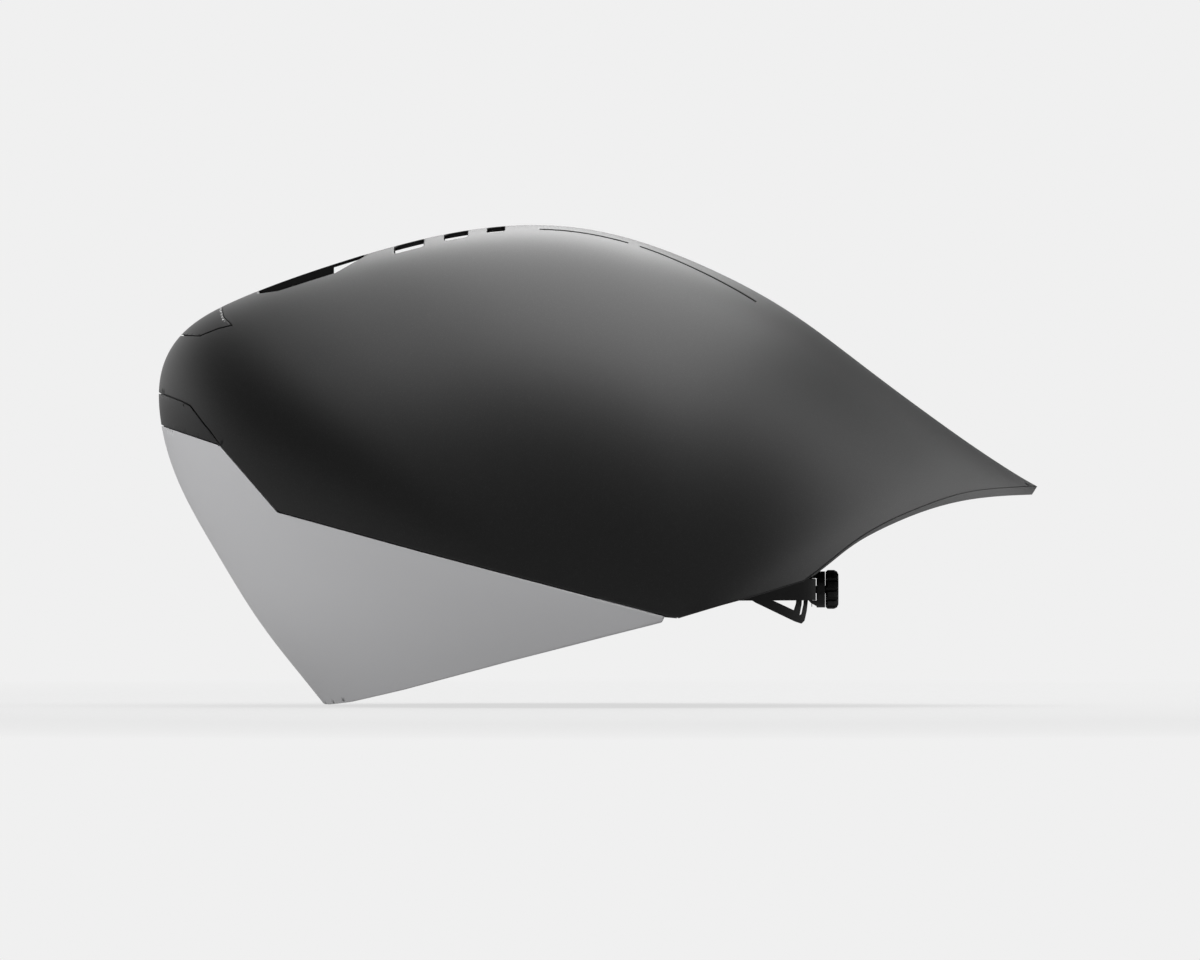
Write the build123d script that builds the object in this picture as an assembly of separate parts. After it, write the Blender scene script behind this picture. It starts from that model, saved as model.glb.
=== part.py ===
# Aero time trial helmet with a flush shield, a foam liner, a dial-closed fit cradle
# and straps tucked up inside the head cavity.
# Millimetres. +Z is up, the front faces -Y, the tail points along +Y and X runs across,
# with the wearer's left at +X. The origin lies midway between the wearer's ears.

from build123d import *
import os
from math import acos, atan2, cos, degrees, hypot, pi, sin

os.makedirs("parts", exist_ok=True)


# Driving sizes of the outer form

shell_length = 439.0
crown_height = 157.5
shell_half_width = 140.0
ear_line_share = 0.501
nose_y = -ear_line_share * shell_length

# The outer form fans out in half-oval arches from a line across the helmet, the pole line.
pole_share = (0.547, -0.349)
pole_radius = 9.0
arch_steps = 6
front_fullness = 2.3
tail_fullness = 1.7
front_roundness = 2.0
tail_roundness = 1.6

# Side view of the outer form as shares of the length, from the nose, and of the crown height.
PROFILE_SHARES = [
    (0.211, -0.600), (0.164, -0.442), (0.109, -0.242), (0.058, -0.010), (0.016, 0.218),
    (0.000, 0.394), (0.001, 0.528), (0.024, 0.651), (0.088, 0.763), (0.202, 0.879),
    (0.335, 0.976), (0.479, 0.990), (0.609, 0.882), (0.712, 0.733), (0.800, 0.555),
    (0.883, 0.383), (0.959, 0.237), (1.024, 0.135), (1.101, 0.036),
]

# Side outlines, in the same shares
FRONT_RIM_SHARES = [
    (-0.046, 0.410), (0.070, 0.303), (0.136, 0.092), (0.172, 0.065), (0.296, -0.030),
    (0.559, -0.224),
]
REAR_RIM_SHARES = [(0.588, -0.244), (0.638, -0.203), (0.671, -0.178), (0.731, -0.127)]
TAIL_EDGE_SHARES = [
    (0.731, -0.127), (0.754, -0.079), (0.789, -0.003), (0.821, 0.051), (0.866, 0.106),
    (0.911, 0.147), (0.965, 0.166), (1.025, 0.175),
]
TAIL_LIP_SHARES = [
    (0.742, -0.111), (0.754, -0.086), (0.789, -0.011), (0.821, 0.038), (0.866, 0.090),
    (0.911, 0.124), (0.965, 0.141), (1.025, 0.146),
]
TAIL_CUT_SHARES = [(1.001, 0.179), (0.991, 0.140), (1.060, 0.080), (1.060, 0.179)]
SEAT_LOW_SHARES = [
    (-0.046, 0.359), (0.060, 0.257), (0.129, 0.044), (0.170, 0.013), (0.294, -0.083),
    (0.463, -0.209), (0.500, -0.182), (0.559, -0.2255), (0.572, -0.240),
]
LENS_LOW_SHARES = [
    (0.571, -0.256), (0.506, -0.302), (0.396, -0.381), (0.276, -0.472), (0.218, -0.511),
    (0.193, -0.521), (-0.060, -0.521),
]
lens_rear_share = (0.574, -0.237)
BROW_SEAM_SHARES = [
    (-0.023, 0.483), (0.004, 0.461), (0.027, 0.437), (0.036, 0.424), (0.050, 0.373),
    (0.059, 0.343), (0.070, 0.303),
]
CREST_SHARES = [
    (0.017, 0.654), (0.032, 0.650), (0.046, 0.648), (0.067, 0.671), (0.082, 0.681),
    (0.073, 0.705), (0.067, 0.762), (0.017, 0.762),
]
INLET_SHARES = [(0.112, 0.781), (0.135, 0.789), (0.200, 0.846), (0.232, 0.898)]
FACE_ROOM_SHARES = [
    (-0.046, 0.298), (0.350, 0.298), (0.365, 0.110), (0.604, 0.105), (0.633, -0.063),
    (0.633, -0.620), (-0.046, -0.620),
]
high_share = 1.3
far_share = 1.2

# Layers, counted inward from the outer skin
shell_wall = 1.2
glue_line = 0.2
lens_wall = 1.6
lens_clearance = 0.3
seat_wall = 3.0
seam_gap = 0.5
seat_lap = 6.0
ear_wall = 20.0
rim_corner = 3.0
trim_thickness = 1.5
trim_depth = 14.0

# Head cavity: an oval dome over straight walls
cavity_half_width = 86.0
cavity_half_length = 107.0
cavity_rise = 122.0
cavity_y = 1.0
cavity_z = 10.0
bullet_depth_share = 1.0
relief_margin = 10.0

# Pads on the cavity's wall: across, along or up, and corner radius
pad_gap = 0.3
pad_thickness = 7.0
brow_pad_half = 58.0
brow_pad_rear_y = -62.0
brow_pad_low = 51.0
brow_pad_high = 74.0
pad_corner = 8.0
crown_pad_x = 33.0
crown_pad_y = -8.0
crown_pad_width = 20.0
crown_pad_length = 84.0
middle_pad_y = 44.0
middle_pad_width = 30.0
middle_pad_length = 44.0
rear_pad_near_x = 18.0
rear_pad_corner = 5.0
REAR_PAD = [(62.0, 34.0), (62.0, 66.0), (98.0, 66.0), (98.0, 34.0)]

# Top slots beside the spine: front edge and length along the helmet, and reach across
spine_half = 3.5
spine_wall = 1.6
slot_corner = 3.0
SLOTS = [(-103.0, 15.0, 28.0), (-78.0, 12.0, 26.5), (-56.5, 9.0, 24.0)]
slot_depth = 9.0
vent_near = 7.0
vent_far = 19.0
vent_margin = 1.0

# Front inlet
inlet_half = 27.0
inlet_front_y = -171.4
inlet_rear_y = -117.8
inlet_depth = 5.0
inlet_wall = 1.5
inlet_fin_half = 2.0
inlet_fin_rear_y = -133.0
inlet_duct = (12.0, 9.0, 78.0)
inlet_duct_tilt = 38.0
inlet_duct_y = -110.0
inlet_duct_z = 110.0
inlet_duct_x = 12.0
notch_margin = 5.0

# Grooves on the rear top: front end, rear end and place across at each end
groove_width = 1.4
GROOVES = [(-30.0, 14.0, 22.0, 24.0), (20.0, 78.0, 24.0, 30.0)]

# Magnets that hold the shield, in side view
magnet_length = 8.0
magnet_width = 4.0
magnet_fit = 0.1
magnet_skin = 0.2
MAGNET_SHARES = [(0.159, 0.048), (0.365, -0.106)]
front_magnet_share = 0.341

# Fit system
fit_y = 0.5
ring_half_width = 79.0
ring_half_length = 103.5
cradle_wall = 2.2
height_travel = 10.0
band_travel = 5.0
cradle_corner = 0.8
CRADLE_OUTLINE = [
    (69.0, -24.0), (73.3, -28.5), (77.4, -31.1), (96.9, -40.5), (100.6, -41.8), (102.2, -40.2),
    (103.3, -35.5), (104.2, -28.5), (107.0, -10.0), (80.0, -10.0),
]
CRADLE_WINDOW = [
    (79.0, -26.8), (94.0, -22.6), (98.1, -25.4), (98.5, -28.1), (98.1, -32.0), (97.1, -35.2),
]
CRADLE_SLOT = [
    (100.9, -27.2), (102.0, -28.0), (101.8, -32.2), (100.8, -37.0), (99.8, -38.0),
    (99.7, -37.2), (100.7, -32.0),
]
nape_pad_wall = 3.5
nape_pad_width = 4.0
NAPE_PAD_RUN = [(79.2, -29.5), (95.4, -37.1)]
nape_pad_front_y = 80.0
nape_pad_rear_y = 95.0
tongue_half = 9.0
tongue_wall = 2.0
tongue_top = 32.0
tongue_foot = -14.0
slide_gap = 0.3
socket_wall = 2.0
socket_low = 2.0
socket_high = 40.0
socket_lip = 4.5
socket_pocket_gap = 0.3
socket_notch_width = 4.0
socket_notch_height = 2.4
socket_notch_pitch = 6.0
socket_notches = 5

# Dial, pinion and racks
dial_z = -24.7
tooth_module = 0.8
pinion_teeth = 7
pinion_radius = tooth_module * pinion_teeth / 2
tooth_rise = 0.6
tooth_fall = 0.9
tooth_land_share = 0.16
tooth_root_share = 0.50
rack_bar = 1.6
rack_y = 106.1
rack_thickness = 1.6
rack_side_gap = 0.3
rack_half_teeth = 4
housing_half_width = 19.0
housing_height = 18.0
housing_corner = 7.0
housing_split_y = 108.4
housing_rear_y = 112.4
housing_front_y = 94.0
HOUSING_UNDERCUT = [
    (92.0, -29.0), (103.4, -29.0), (105.5, -31.6), (108.4, -33.2), (108.4, -45.0), (92.0, -45.0),
]
stem_radius = 1.5
shaft_radius = 2.0
shaft_clearance = 0.05
dial_radius = 9.8
dial_gap = 0.4
dial_thickness = 6.4
dial_rear_edge = 2.2
dial_front_edge = 1.0
dial_grips = 12
dial_grip_radius = 1.2
screw_x = 15.0
screw_post_radius = 1.8
screw_radius = 1.0
screw_length = 6.0
screw_head_radius = 1.6
screw_head = 1.0
screw_sides = 12

# Side bands
BAND_ROUTE = [
    (49.5, 93.5), (64.5, 73.0), (71.5, 45.0), (75.5, 12.0), (72.0, -25.0), (59.5, -60.0),
]
band_end_slope_share = 0.45
band_thickness = 1.6
band_height = 10.6
band_straight_x = 25.0
band_rise_y = 66.0
band_end_y = -61.0
band_end_z = 33.0
post_y = -54.0
post_radius = 2.0
post_slot_gap = 0.5
post_slot_corner = 1.5
post_inner_x = 53.0
post_outer_x = 77.0
post_cap_radius = 4.0
post_cap = 1.4
post_flange_half = 5.0
post_flange_x = 73.0
paddle_half = 6.5
paddle_margin = 4.0
paddle_corner = 3.0
band_corner = 2.0
band_steps = 12

# Straps
web_layer = 8.0
web_thickness = 1.4
web_width = 14.0
front_anchor = (-38.0, 44.0)
rear_anchor = (58.0, 20.0)
divider_spot = (8.0, 41.0)
anchor_half = 7.0
anchor_depth = 3.0
anchor_gap = 0.2
divider_half = 9.0
divider_thickness = 4.0
chin_web_end_x = 31.0
buckle_width = 25.0
buckle_length = 20.0
buckle_thickness = 6.0
buckle_wall = 1.3
buckle_corner = 2.0
buckle_x = 20.0
buckle_z = 113.7
buckle_tilt = 19.0
buckle_tail = 6.0
buckle_side_gap = 1.0
prong_width = 4.0
prong_length = 13.0
prong_inset = 4.0
prong_gap = 0.3
bar_slot = 2.4

overrun = 20.0
wide_overrun = 400.0


# Helpers for the outer form

def spot(share):
    """A point of the side view, along and up, from its shares."""
    return (nose_y + share[0] * shell_length, share[1] * crown_height)


def spots(shares, lift=0.0):
    """The points of a side outline, all raised by the same lift."""
    points = []
    for share in shares:
        along, up = spot(share)
        points.append((along, up + lift))
    return points


pole_y, pole_z = spot(pole_share)


def arch_shape(angle):
    """How full and how round the arch at this angle is, from the front over to the tail."""
    blend = max(0.0, min(1.0, (angle - pi / 2) / (pi / 3)))
    blend = blend * blend * (3 - 2 * blend)
    fullness = front_fullness + (tail_fullness - front_fullness) * blend
    roundness = front_roundness + (tail_roundness - front_roundness) * blend
    return fullness, roundness


def arch(share, inset):
    """Half a section of the outer form: half an oval arch in a plane that holds the pole line."""
    along, up = spot(share)
    angle = atan2(up - pole_z, pole_y - along)
    way_out = Vector(0, -cos(angle), sin(angle))
    way_across = Vector(1, 0, 0)
    pole = Vector(0, pole_y, pole_z)
    reach = hypot(along - pole_y, up - pole_z) - inset
    half = shell_half_width - inset
    bore = pole_radius / (1 + inset / pole_radius)
    fullness, roundness = arch_shape(angle)
    last = acos((bore / reach) ** (fullness / 2))
    points = []
    for step in range(arch_steps + 1):
        turn = last * step / arch_steps
        across = half * sin(turn) ** (2 / roundness)
        out = reach * cos(turn) ** (2 / fullness)
        points.append(pole + way_across * across + way_out * out)
    across_rate = half / roundness * sin(last) ** (2 / roundness - 1) * cos(last)
    out_rate = reach / fullness * cos(last) ** (2 / fullness - 1) * sin(last)
    curve = Edge.make_spline(
        points,
        tangents=[way_across, way_across * across_rate - way_out * out_rate],
        parameters=[step / arch_steps for step in range(arch_steps + 1)],
    )
    foot = pole + way_out * bore
    return make_face([curve, Line(points[-1], foot), Line(foot, points[0])])


def skin(inset):
    """The left half of the outer form as a solid, shrunk by the inset."""
    if inset not in skins:
        skins[inset] = loft([arch(share, inset) for share in PROFILE_SHARES])
    return skins[inset]


skins = {}


def layer(outer, inner, region):
    """The part of the outer form's left half between two insets that lies in a region."""
    return (skin(outer) & region) - skin(inner)


def side_prism(edges):
    """A solid as wide as the helmet and more, from a closed outline in the side view."""
    face = make_face(edges)
    return extrude(Plane.YZ * face, amount=shell_half_width + overrun, both=True)


def side_block(points, radius=0.0):
    """The same from corner points, with one corner radius."""
    if radius:
        return side_prism(FilletPolyline(*points, radius=radius, close=True).edges())
    return side_prism(Polyline(*points, close=True).edges())


def ribbon(start, end, width):
    """A straight strip in the side view, as a prism across the helmet."""
    along = end[0] - start[0]
    up = end[1] - start[1]
    length = hypot(along, up)
    off_y = -up / length * width / 2
    off_z = along / length * width / 2
    return side_block([
        (start[0] + off_y, start[1] + off_z), (end[0] + off_y, end[1] + off_z),
        (end[0] - off_y, end[1] - off_z), (start[0] - off_y, start[1] - off_z),
    ])


def block(x_range, y_range, z_range):
    """A box between two corners."""
    size = (x_range[1] - x_range[0], y_range[1] - y_range[0], z_range[1] - z_range[0])
    middle = (sum(x_range) / 2, sum(y_range) / 2, sum(z_range) / 2)
    return Pos(*middle) * Box(*size)


def mirrored(shape):
    """The same shape on the other side of the helmet."""
    return mirror(shape, about=Plane.YZ)


def whole(half):
    """Both sides of a piece whose left half is given, joined where they meet."""
    return half + mirrored(half)


def keep_left(shape):
    return shape & block((0, wide_overrun), (-wide_overrun, wide_overrun), (-wide_overrun, wide_overrun))


def save(name, shape):
    """Write one sub-part."""
    export_step(shape, "parts/" + name + ".step")
    print(name, len(shape.solids()), round(shape.volume, 1), shape.is_valid)


bullet = Sphere(1) + Pos(0, 0, -bullet_depth_share / 2) * Cylinder(1, bullet_depth_share)


def dome(inset):
    """The head cavity as a solid, shrunk by the inset."""
    if inset not in domes:
        reach = (cavity_half_width - inset, cavity_half_length - inset, cavity_rise - inset)
        domes[inset] = Pos(0, cavity_y, cavity_z) * scale(bullet, by=reach)
    return domes[inset]


domes = {}

# Side outlines as prisms

seat_inset = lens_wall + lens_clearance
seat_inner = seat_inset + seat_wall
liner_inset = shell_wall + glue_line
liner_behind_seat = seat_inner + glue_line

sky = [spot((far_share, high_share)), spot((1 - far_share, high_share))]


def above(front_points, tail_shares):
    """Everything above a rim made of straight runs and a curved tail."""
    tail = spots(tail_shares)
    runs = FilletPolyline(*(front_points + tail[:1]), radius=rim_corner)
    curve = Spline(*tail)
    closing = Polyline(tail[-1], *sky, front_points[0])
    return side_prism(runs.edges() + curve.edges() + closing.edges())


def side_opening(points, gap):
    """A hole in the side view for an inset panel, wider than the panel by the gap all round."""
    face = offset(make_face(Polyline(*points, close=True)), amount=gap, kind=Kind.INTERSECTION)
    return extrude(Plane.YZ * face, amount=shell_half_width + overrun, both=True)


front_rim = spots(FRONT_RIM_SHARES)
rear_rim = spots(REAR_RIM_SHARES)
raised_rear_rim = spots(REAR_RIM_SHARES[:-1], trim_thickness) + rear_rim[-1:]
seat_low = spots(SEAT_LOW_SHARES)
shell_region = above(front_rim + rear_rim[:-1], TAIL_EDGE_SHARES)
liner_region = above(seat_low + raised_rear_rim[:-1], TAIL_EDGE_SHARES)

seat_region = side_block(spots(FRONT_RIM_SHARES, seat_lap) + rear_rim[:1] + seat_low[::-1])
lens_region = side_block(
    spots(FRONT_RIM_SHARES, -seam_gap) + [spot(lens_rear_share)] + spots(LENS_LOW_SHARES)
)
brow_points = spots(BROW_SEAM_SHARES) + front_rim[:1]
crest_points = spots(CREST_SHARES)
inlet_low = spots(INLET_SHARES)
inlet_high = [spot((INLET_SHARES[-1][0], high_share)), spot((INLET_SHARES[0][0], high_share))]
inlet_region = side_block(inlet_low + inlet_high)

# Outer skin pieces

whole_skin = layer(0.0, shell_wall, shell_region)
brow_panel = whole_skin & side_block(brow_points)
crest_panel = whole_skin & side_block(crest_points)
outer_shell = whole_skin - side_opening(brow_points, seam_gap) - side_opening(crest_points, seam_gap)
outer_shell -= inlet_region


def plan_slot(near_x, far_x, middle_y, length):
    """A rounded slot cut straight down, on the left of the spine."""
    width = far_x - near_x
    outline = Pos(near_x + width / 2, middle_y) * RectangleRounded(width, length, slot_corner)
    return extrude(outline, amount=wide_overrun)


def plan_block(near_x, far_x, middle_y, length):
    """The same with plain corners, for what the foam can't hold as a fine edge."""
    return block((near_x, far_x), (middle_y - length / 2, middle_y + length / 2), (0, wide_overrun))


slot_wells = []
vents = []
for slot_y, slot_length, slot_reach in SLOTS:
    middle_y = slot_y + slot_length / 2
    outer_shell -= plan_slot(spine_half, slot_reach, middle_y, slot_length)
    well = plan_slot(-slot_reach, slot_reach, middle_y, slot_length)
    outer_shell -= well & skin(shell_wall)
    rib_block = block((0, spine_half), (slot_y, slot_y + slot_length), (0, wide_overrun))
    outer_shell += layer(0.0, spine_wall, rib_block)
    slot_wells.append(plan_block(-slot_reach, slot_reach, middle_y, slot_length))
    vents.append(plan_block(vent_near, vent_far, middle_y, slot_length - vent_margin * 2))

for groove_front, groove_rear, front_x, rear_x in GROOVES:
    route = Line((front_x, groove_front), (rear_x, groove_rear))
    turn = degrees(atan2(groove_rear - groove_front, rear_x - front_x))
    outline = Pos(route @ 0.5) * Rot(0, 0, turn) * SlotCenterToCenter(route.length, groove_width)
    outer_shell -= extrude(outline, amount=wide_overrun)

save("outer_shell", whole(outer_shell))
save("brow_panel", whole(brow_panel))
save("crest_panel", whole(crest_panel))

# Shield seat, shield and magnets

front_up = front_magnet_share * crown_height


def magnet_bars(fit):
    """Bars for the magnets, wider by the fit: across the helmet at the sides, along it in front."""
    size = (magnet_length + fit * 2, magnet_width + fit * 2)
    bars = Part()
    for along, up in spots(MAGNET_SHARES):
        rim_turn = degrees(atan2(front_rim[-1][1] - front_rim[-2][1], front_rim[-1][0] - front_rim[-2][0]))
        bars += Pos(0, along, up) * Rot(rim_turn, 0, 0) * Box(wide_overrun, *size)
    bars += Pos(0, nose_y, front_up) * Box(size[0], shell_half_width, size[1])
    return bars


loose_bars = magnet_bars(magnet_fit)
tight_bars = magnet_bars(0.0)
save("shield_seat", whole(layer(seat_inset, seat_inner, seat_region) - loose_bars))
save("shield_lens", whole(layer(0.0, lens_wall, lens_region) - loose_bars))
save("shield_magnets", whole(layer(magnet_skin, lens_wall - magnet_skin, tight_bars)))
save("seat_magnets", whole(layer(seat_inset + magnet_skin, seat_inner - magnet_skin, tight_bars)))

# Front inlet tray

inlet_box = block((0, inlet_half), (inlet_front_y, inlet_rear_y), (0, wide_overrun))
inlet_inside = block(
    (0, inlet_half - inlet_wall),
    (inlet_front_y + inlet_wall, inlet_rear_y - inlet_wall),
    (0, wide_overrun),
)
tray_bottom = inlet_depth + inlet_wall
tray_block = (inlet_box & skin(liner_inset)) - inlet_region
tray = tray_block - skin(tray_bottom) - (inlet_inside - skin(inlet_depth))
tray += layer(inlet_depth, tray_bottom, inlet_box)
fin_block = block((0, inlet_fin_half), (inlet_front_y, inlet_fin_rear_y), (0, wide_overrun))
fin = layer(0.0, inlet_depth, fin_block)
bridge_block = block((0, spine_half), (inlet_fin_rear_y, inlet_rear_y), (0, wide_overrun))
bridge = layer(0.0, spine_wall, bridge_block)
duct_place = Pos(inlet_duct_x, inlet_duct_y, inlet_duct_z) * Rot(inlet_duct_tilt, 0, 0)
duct = duct_place * Box(*inlet_duct)
save("inlet_tray", whole(tray + fin + bridge - duct))

# Tail underpanel

edge_curve = Spline(*spots(TAIL_EDGE_SHARES))
lip_curve = Spline(*spots(TAIL_LIP_SHARES))
under_prism = side_prism(
    edge_curve.edges() + lip_curve.edges()
    + Line(edge_curve @ 0, lip_curve @ 0).edges() + Line(edge_curve @ 1, lip_curve @ 1).edges()
)
notch_half = housing_half_width + notch_margin
dial_notch = block(
    (-notch_half, notch_half),
    (0, housing_rear_y + dial_gap + dial_thickness),
    (-wide_overrun, dial_z + housing_height / 2 + notch_margin / 2),
)
relief_top = dial_z + housing_height
fit_relief = Pos(0, cavity_y, relief_top - wide_overrun) * extrude(
    Ellipse(cavity_half_width + relief_margin, cavity_half_length + relief_margin),
    amount=wide_overrun,
)
underpanel = (skin(0.0) & under_prism) - side_block(spots(TAIL_CUT_SHARES))
underpanel -= dome(0.0) + dial_notch + fit_relief
save("tail_underpanel", whole(underpanel))

# Posts for the side bands and anchors for the straps, which sit in pockets in the liner


def cross_rod(place, radius, inner_x, outer_x):
    """A rod along X on the left side."""
    length = outer_x - inner_x
    return Pos(inner_x + length / 2, *place) * Rot(0, 90, 0) * Cylinder(radius, length)


def cross_bar(place, half, inner_x, outer_x):
    """A square bar along X on the left side."""
    length = outer_x - inner_x
    return Pos(inner_x + length / 2, *place) * Box(length, half * 2, half * 2)


def band_centre_z(along):
    """Height of the side band's centre line at a place along the helmet."""
    share = (band_rise_y - along) / (band_rise_y - band_end_y)
    return dial_z + (band_end_z - dial_z) * share


post_spot = (post_y, band_centre_z(post_y))
post = cross_rod(post_spot, post_radius, post_inner_x, post_outer_x)
post += cross_rod(post_spot, post_cap_radius, post_inner_x - post_cap, post_inner_x)
post += cross_bar(post_spot, post_flange_half, post_flange_x, post_outer_x)
save("band_posts", Part() + [post, mirrored(post)])
flange_pocket = cross_bar(
    post_spot, post_flange_half + anchor_gap, post_flange_x - overrun, post_outer_x + anchor_gap
)

anchors = Part()
anchor_pockets = Part()
for place in (front_anchor, rear_anchor):
    bar = cross_bar(place, anchor_half, overrun, cavity_half_width + overrun)
    pocket_bar = cross_bar(place, anchor_half + anchor_gap, overrun, cavity_half_width + overrun)
    anchors += (bar & dome(-anchor_depth)) - dome(web_layer - anchor_gap)
    anchor_pockets += pocket_bar & dome(-anchor_depth - anchor_gap)
save("strap_anchors", Part() + [anchors, mirrored(anchors)])

# Foam liner

behind_seat = side_block(
    spots(FRONT_RIM_SHARES, seat_lap + glue_line)
    + [(rear_rim[0][0] + glue_line, rear_rim[0][1] - glue_line)]
    + spots(SEAT_LOW_SHARES, -seat_lap)[::-1]
)
liner = (skin(liner_inset) & liner_region) - dome(0.0)
liner -= side_block(spots(FACE_ROOM_SHARES)) & skin(ear_wall)
for vent in vents:
    liner -= vent
socket_pocket_half = tongue_half + socket_lip + socket_pocket_gap
liner -= block(
    (-socket_pocket_half, socket_pocket_half),
    (0, fit_y + ring_half_length + socket_wall + slide_gap + socket_pocket_gap),
    (socket_low - socket_pocket_gap, socket_high + socket_pocket_gap),
)
liner -= dial_notch + fit_relief
liner -= flange_pocket
liner -= anchor_pockets
liner -= duct
liner -= behind_seat - skin(liner_behind_seat)
for well in slot_wells:
    liner -= well - skin(slot_depth)
liner -= inlet_region + (inlet_box - skin(tray_bottom + glue_line))
save("foam_liner", whole(liner))

# Rear rim trim

trim_edge = trim_thickness - glue_line
trim_start = (rear_rim[0][0] + seam_gap, rear_rim[0][1])
trim_low = [trim_start] + rear_rim[1:]
trim_high = [(trim_start[0], trim_start[1] + trim_edge)] + spots(REAR_RIM_SHARES[1:-1], trim_edge)
trim = layer(liner_inset, trim_depth, side_block(trim_low + trim_high[::-1])) - fit_relief
save("rim_trim", whole(trim))

# Pads

pad_shell = dome(pad_gap) - dome(pad_gap + pad_thickness)


def top_pad(middle, width, length):
    """A pad with rounded corners against the ceiling of the cavity."""
    outline = Pos(*middle) * RectangleRounded(width, length, pad_corner)
    return pad_shell & extrude(outline, amount=wide_overrun)


save("brow_pad", pad_shell & block(
    (-brow_pad_half, brow_pad_half), (-wide_overrun, brow_pad_rear_y), (brow_pad_low, brow_pad_high)
))
crown_pad = top_pad((crown_pad_x, crown_pad_y), crown_pad_width, crown_pad_length)
save("crown_pad_left", crown_pad)
save("crown_pad_right", mirrored(crown_pad))
save("crown_pad_rear", top_pad((0, middle_pad_y), middle_pad_width, middle_pad_length))
rear_pad = pad_shell & side_block(REAR_PAD, rear_pad_corner)
rear_pad &= block((rear_pad_near_x, wide_overrun), (0, wide_overrun), (0, wide_overrun))
save("rear_pad_left", rear_pad)
save("rear_pad_right", mirrored(rear_pad))

# Straps

web_shell = dome(web_layer) - dome(web_layer + web_thickness)
divider_block = side_block([
    (divider_spot[0] - divider_half, divider_spot[1] - divider_half),
    (divider_spot[0] + divider_half, divider_spot[1] - divider_half),
    (divider_spot[0] + divider_half, divider_spot[1] + divider_half),
    (divider_spot[0] - divider_half, divider_spot[1] + divider_half),
])
front_web = keep_left(web_shell & ribbon(front_anchor, divider_spot, web_width)) - divider_block
rear_web = keep_left(web_shell & ribbon(rear_anchor, divider_spot, web_width)) - divider_block
chin_web = web_shell & block(
    (chin_web_end_x, wide_overrun),
    (divider_spot[0] - web_width / 2, divider_spot[0] + web_width / 2),
    (divider_spot[1] + divider_half, wide_overrun),
)
divider_shell = dome(web_layer - anchor_gap) - dome(web_layer + divider_thickness)
divider = keep_left(divider_shell & divider_block)
for name, piece in (
    ("web_front", front_web), ("web_rear", rear_web), ("web_chin", chin_web), ("strap_divider", divider)
):
    save(name + "_left", piece)
    save(name + "_right", mirrored(piece))

# Buckle halves, flat in XY and then laid against the ceiling of the cavity

female = extrude(
    Pos(0, 0, -buckle_thickness / 2) * RectangleRounded(buckle_length, buckle_width, buckle_corner),
    amount=buckle_thickness,
)
female -= Pos(-buckle_wall, 0, 0) * Box(
    buckle_length, buckle_width - buckle_wall * 4, buckle_thickness - buckle_wall * 2
)
tail_x = (buckle_length - buckle_tail) / 2
male = Pos(tail_x, 0, 0) * Box(buckle_tail, buckle_width - buckle_side_gap * 2, buckle_thickness)
male -= Pos(tail_x, 0, 0) * Box(bar_slot, web_width + buckle_side_gap, wide_overrun)
prong_thickness = buckle_thickness - (buckle_wall + prong_gap) * 2
prong_x = buckle_length / 2 - buckle_tail - prong_length / 2
for side in (-1, 1):
    prong_y = side * (buckle_width / 2 - prong_inset)
    male += Pos(prong_x, prong_y, 0) * Box(prong_length, prong_width, prong_thickness)
place = Pos(buckle_x, divider_spot[0], buckle_z) * Rot(0, buckle_tilt, 0)
save("buckle_socket", place * female)
save("buckle_prongs", mirrored(place * male))

# Fit cradle


def ring(inset, wall):
    """A wall that follows the back of the head, from the floor of the part to its top."""
    outer = Ellipse(ring_half_width - inset, ring_half_length - inset)
    inner = Ellipse(ring_half_width - inset - wall, ring_half_length - inset - wall)
    return Pos(0, fit_y, -wide_overrun / 2) * extrude(outer - inner, amount=wide_overrun)


cradle = ring(0.0, cradle_wall) & (
    side_block(CRADLE_OUTLINE, cradle_corner) - side_block(CRADLE_WINDOW) - side_block(CRADLE_SLOT)
)
tongue_rear = fit_y + ring_half_length
tongue = block(
    (-tongue_half, tongue_half), (tongue_rear - tongue_wall, tongue_rear), (tongue_foot, tongue_top)
)
cradle += tongue - extrude(
    Pos(0, fit_y) * Ellipse(ring_half_width - cradle_wall, ring_half_length - cradle_wall),
    amount=wide_overrun, both=True
)
save("fit_cradle", cradle)
socket = block(
    (-tongue_half - socket_lip, tongue_half + socket_lip),
    (tongue_rear - tongue_wall, tongue_rear + slide_gap + socket_wall),
    (socket_low, socket_high),
)
socket -= block(
    (-tongue_half - slide_gap, tongue_half + slide_gap),
    (0, tongue_rear + slide_gap),
    (-wide_overrun, socket_high - socket_wall),
)
for step in range(socket_notches):
    notch_z = socket_low + socket_notch_pitch * (step + 1)
    socket -= Pos(0, tongue_rear, notch_z) * Box(socket_notch_width, overrun, socket_notch_height)
save("height_socket", socket)
nape = ring(cradle_wall + pad_gap, nape_pad_wall) & ribbon(*NAPE_PAD_RUN, nape_pad_width)
nape &= block(
    (-wide_overrun, wide_overrun), (nape_pad_front_y, nape_pad_rear_y), (-wide_overrun, wide_overrun)
)
save("nape_pads", nape)

# Dial housing

housing_plate = RectangleRounded(housing_half_width * 2, housing_height, housing_corner)


def across(y_low):
    """A plane that faces the tail, with its origin on the dial's axis."""
    return Plane((0, y_low, dial_z), x_dir=(1, 0, 0), z_dir=(0, 1, 0))


def housing_slab(y_low, y_high):
    """A slice of the housing's outline between two places along the helmet."""
    return extrude(across(y_low) * housing_plate, amount=y_high - y_low)


def dial_rod(radius, y_low, y_high):
    """A rod on the dial's axis."""
    return Pos(0, (y_low + y_high) / 2, dial_z) * Rot(90, 0, 0) * Cylinder(radius, y_high - y_low)


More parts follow.
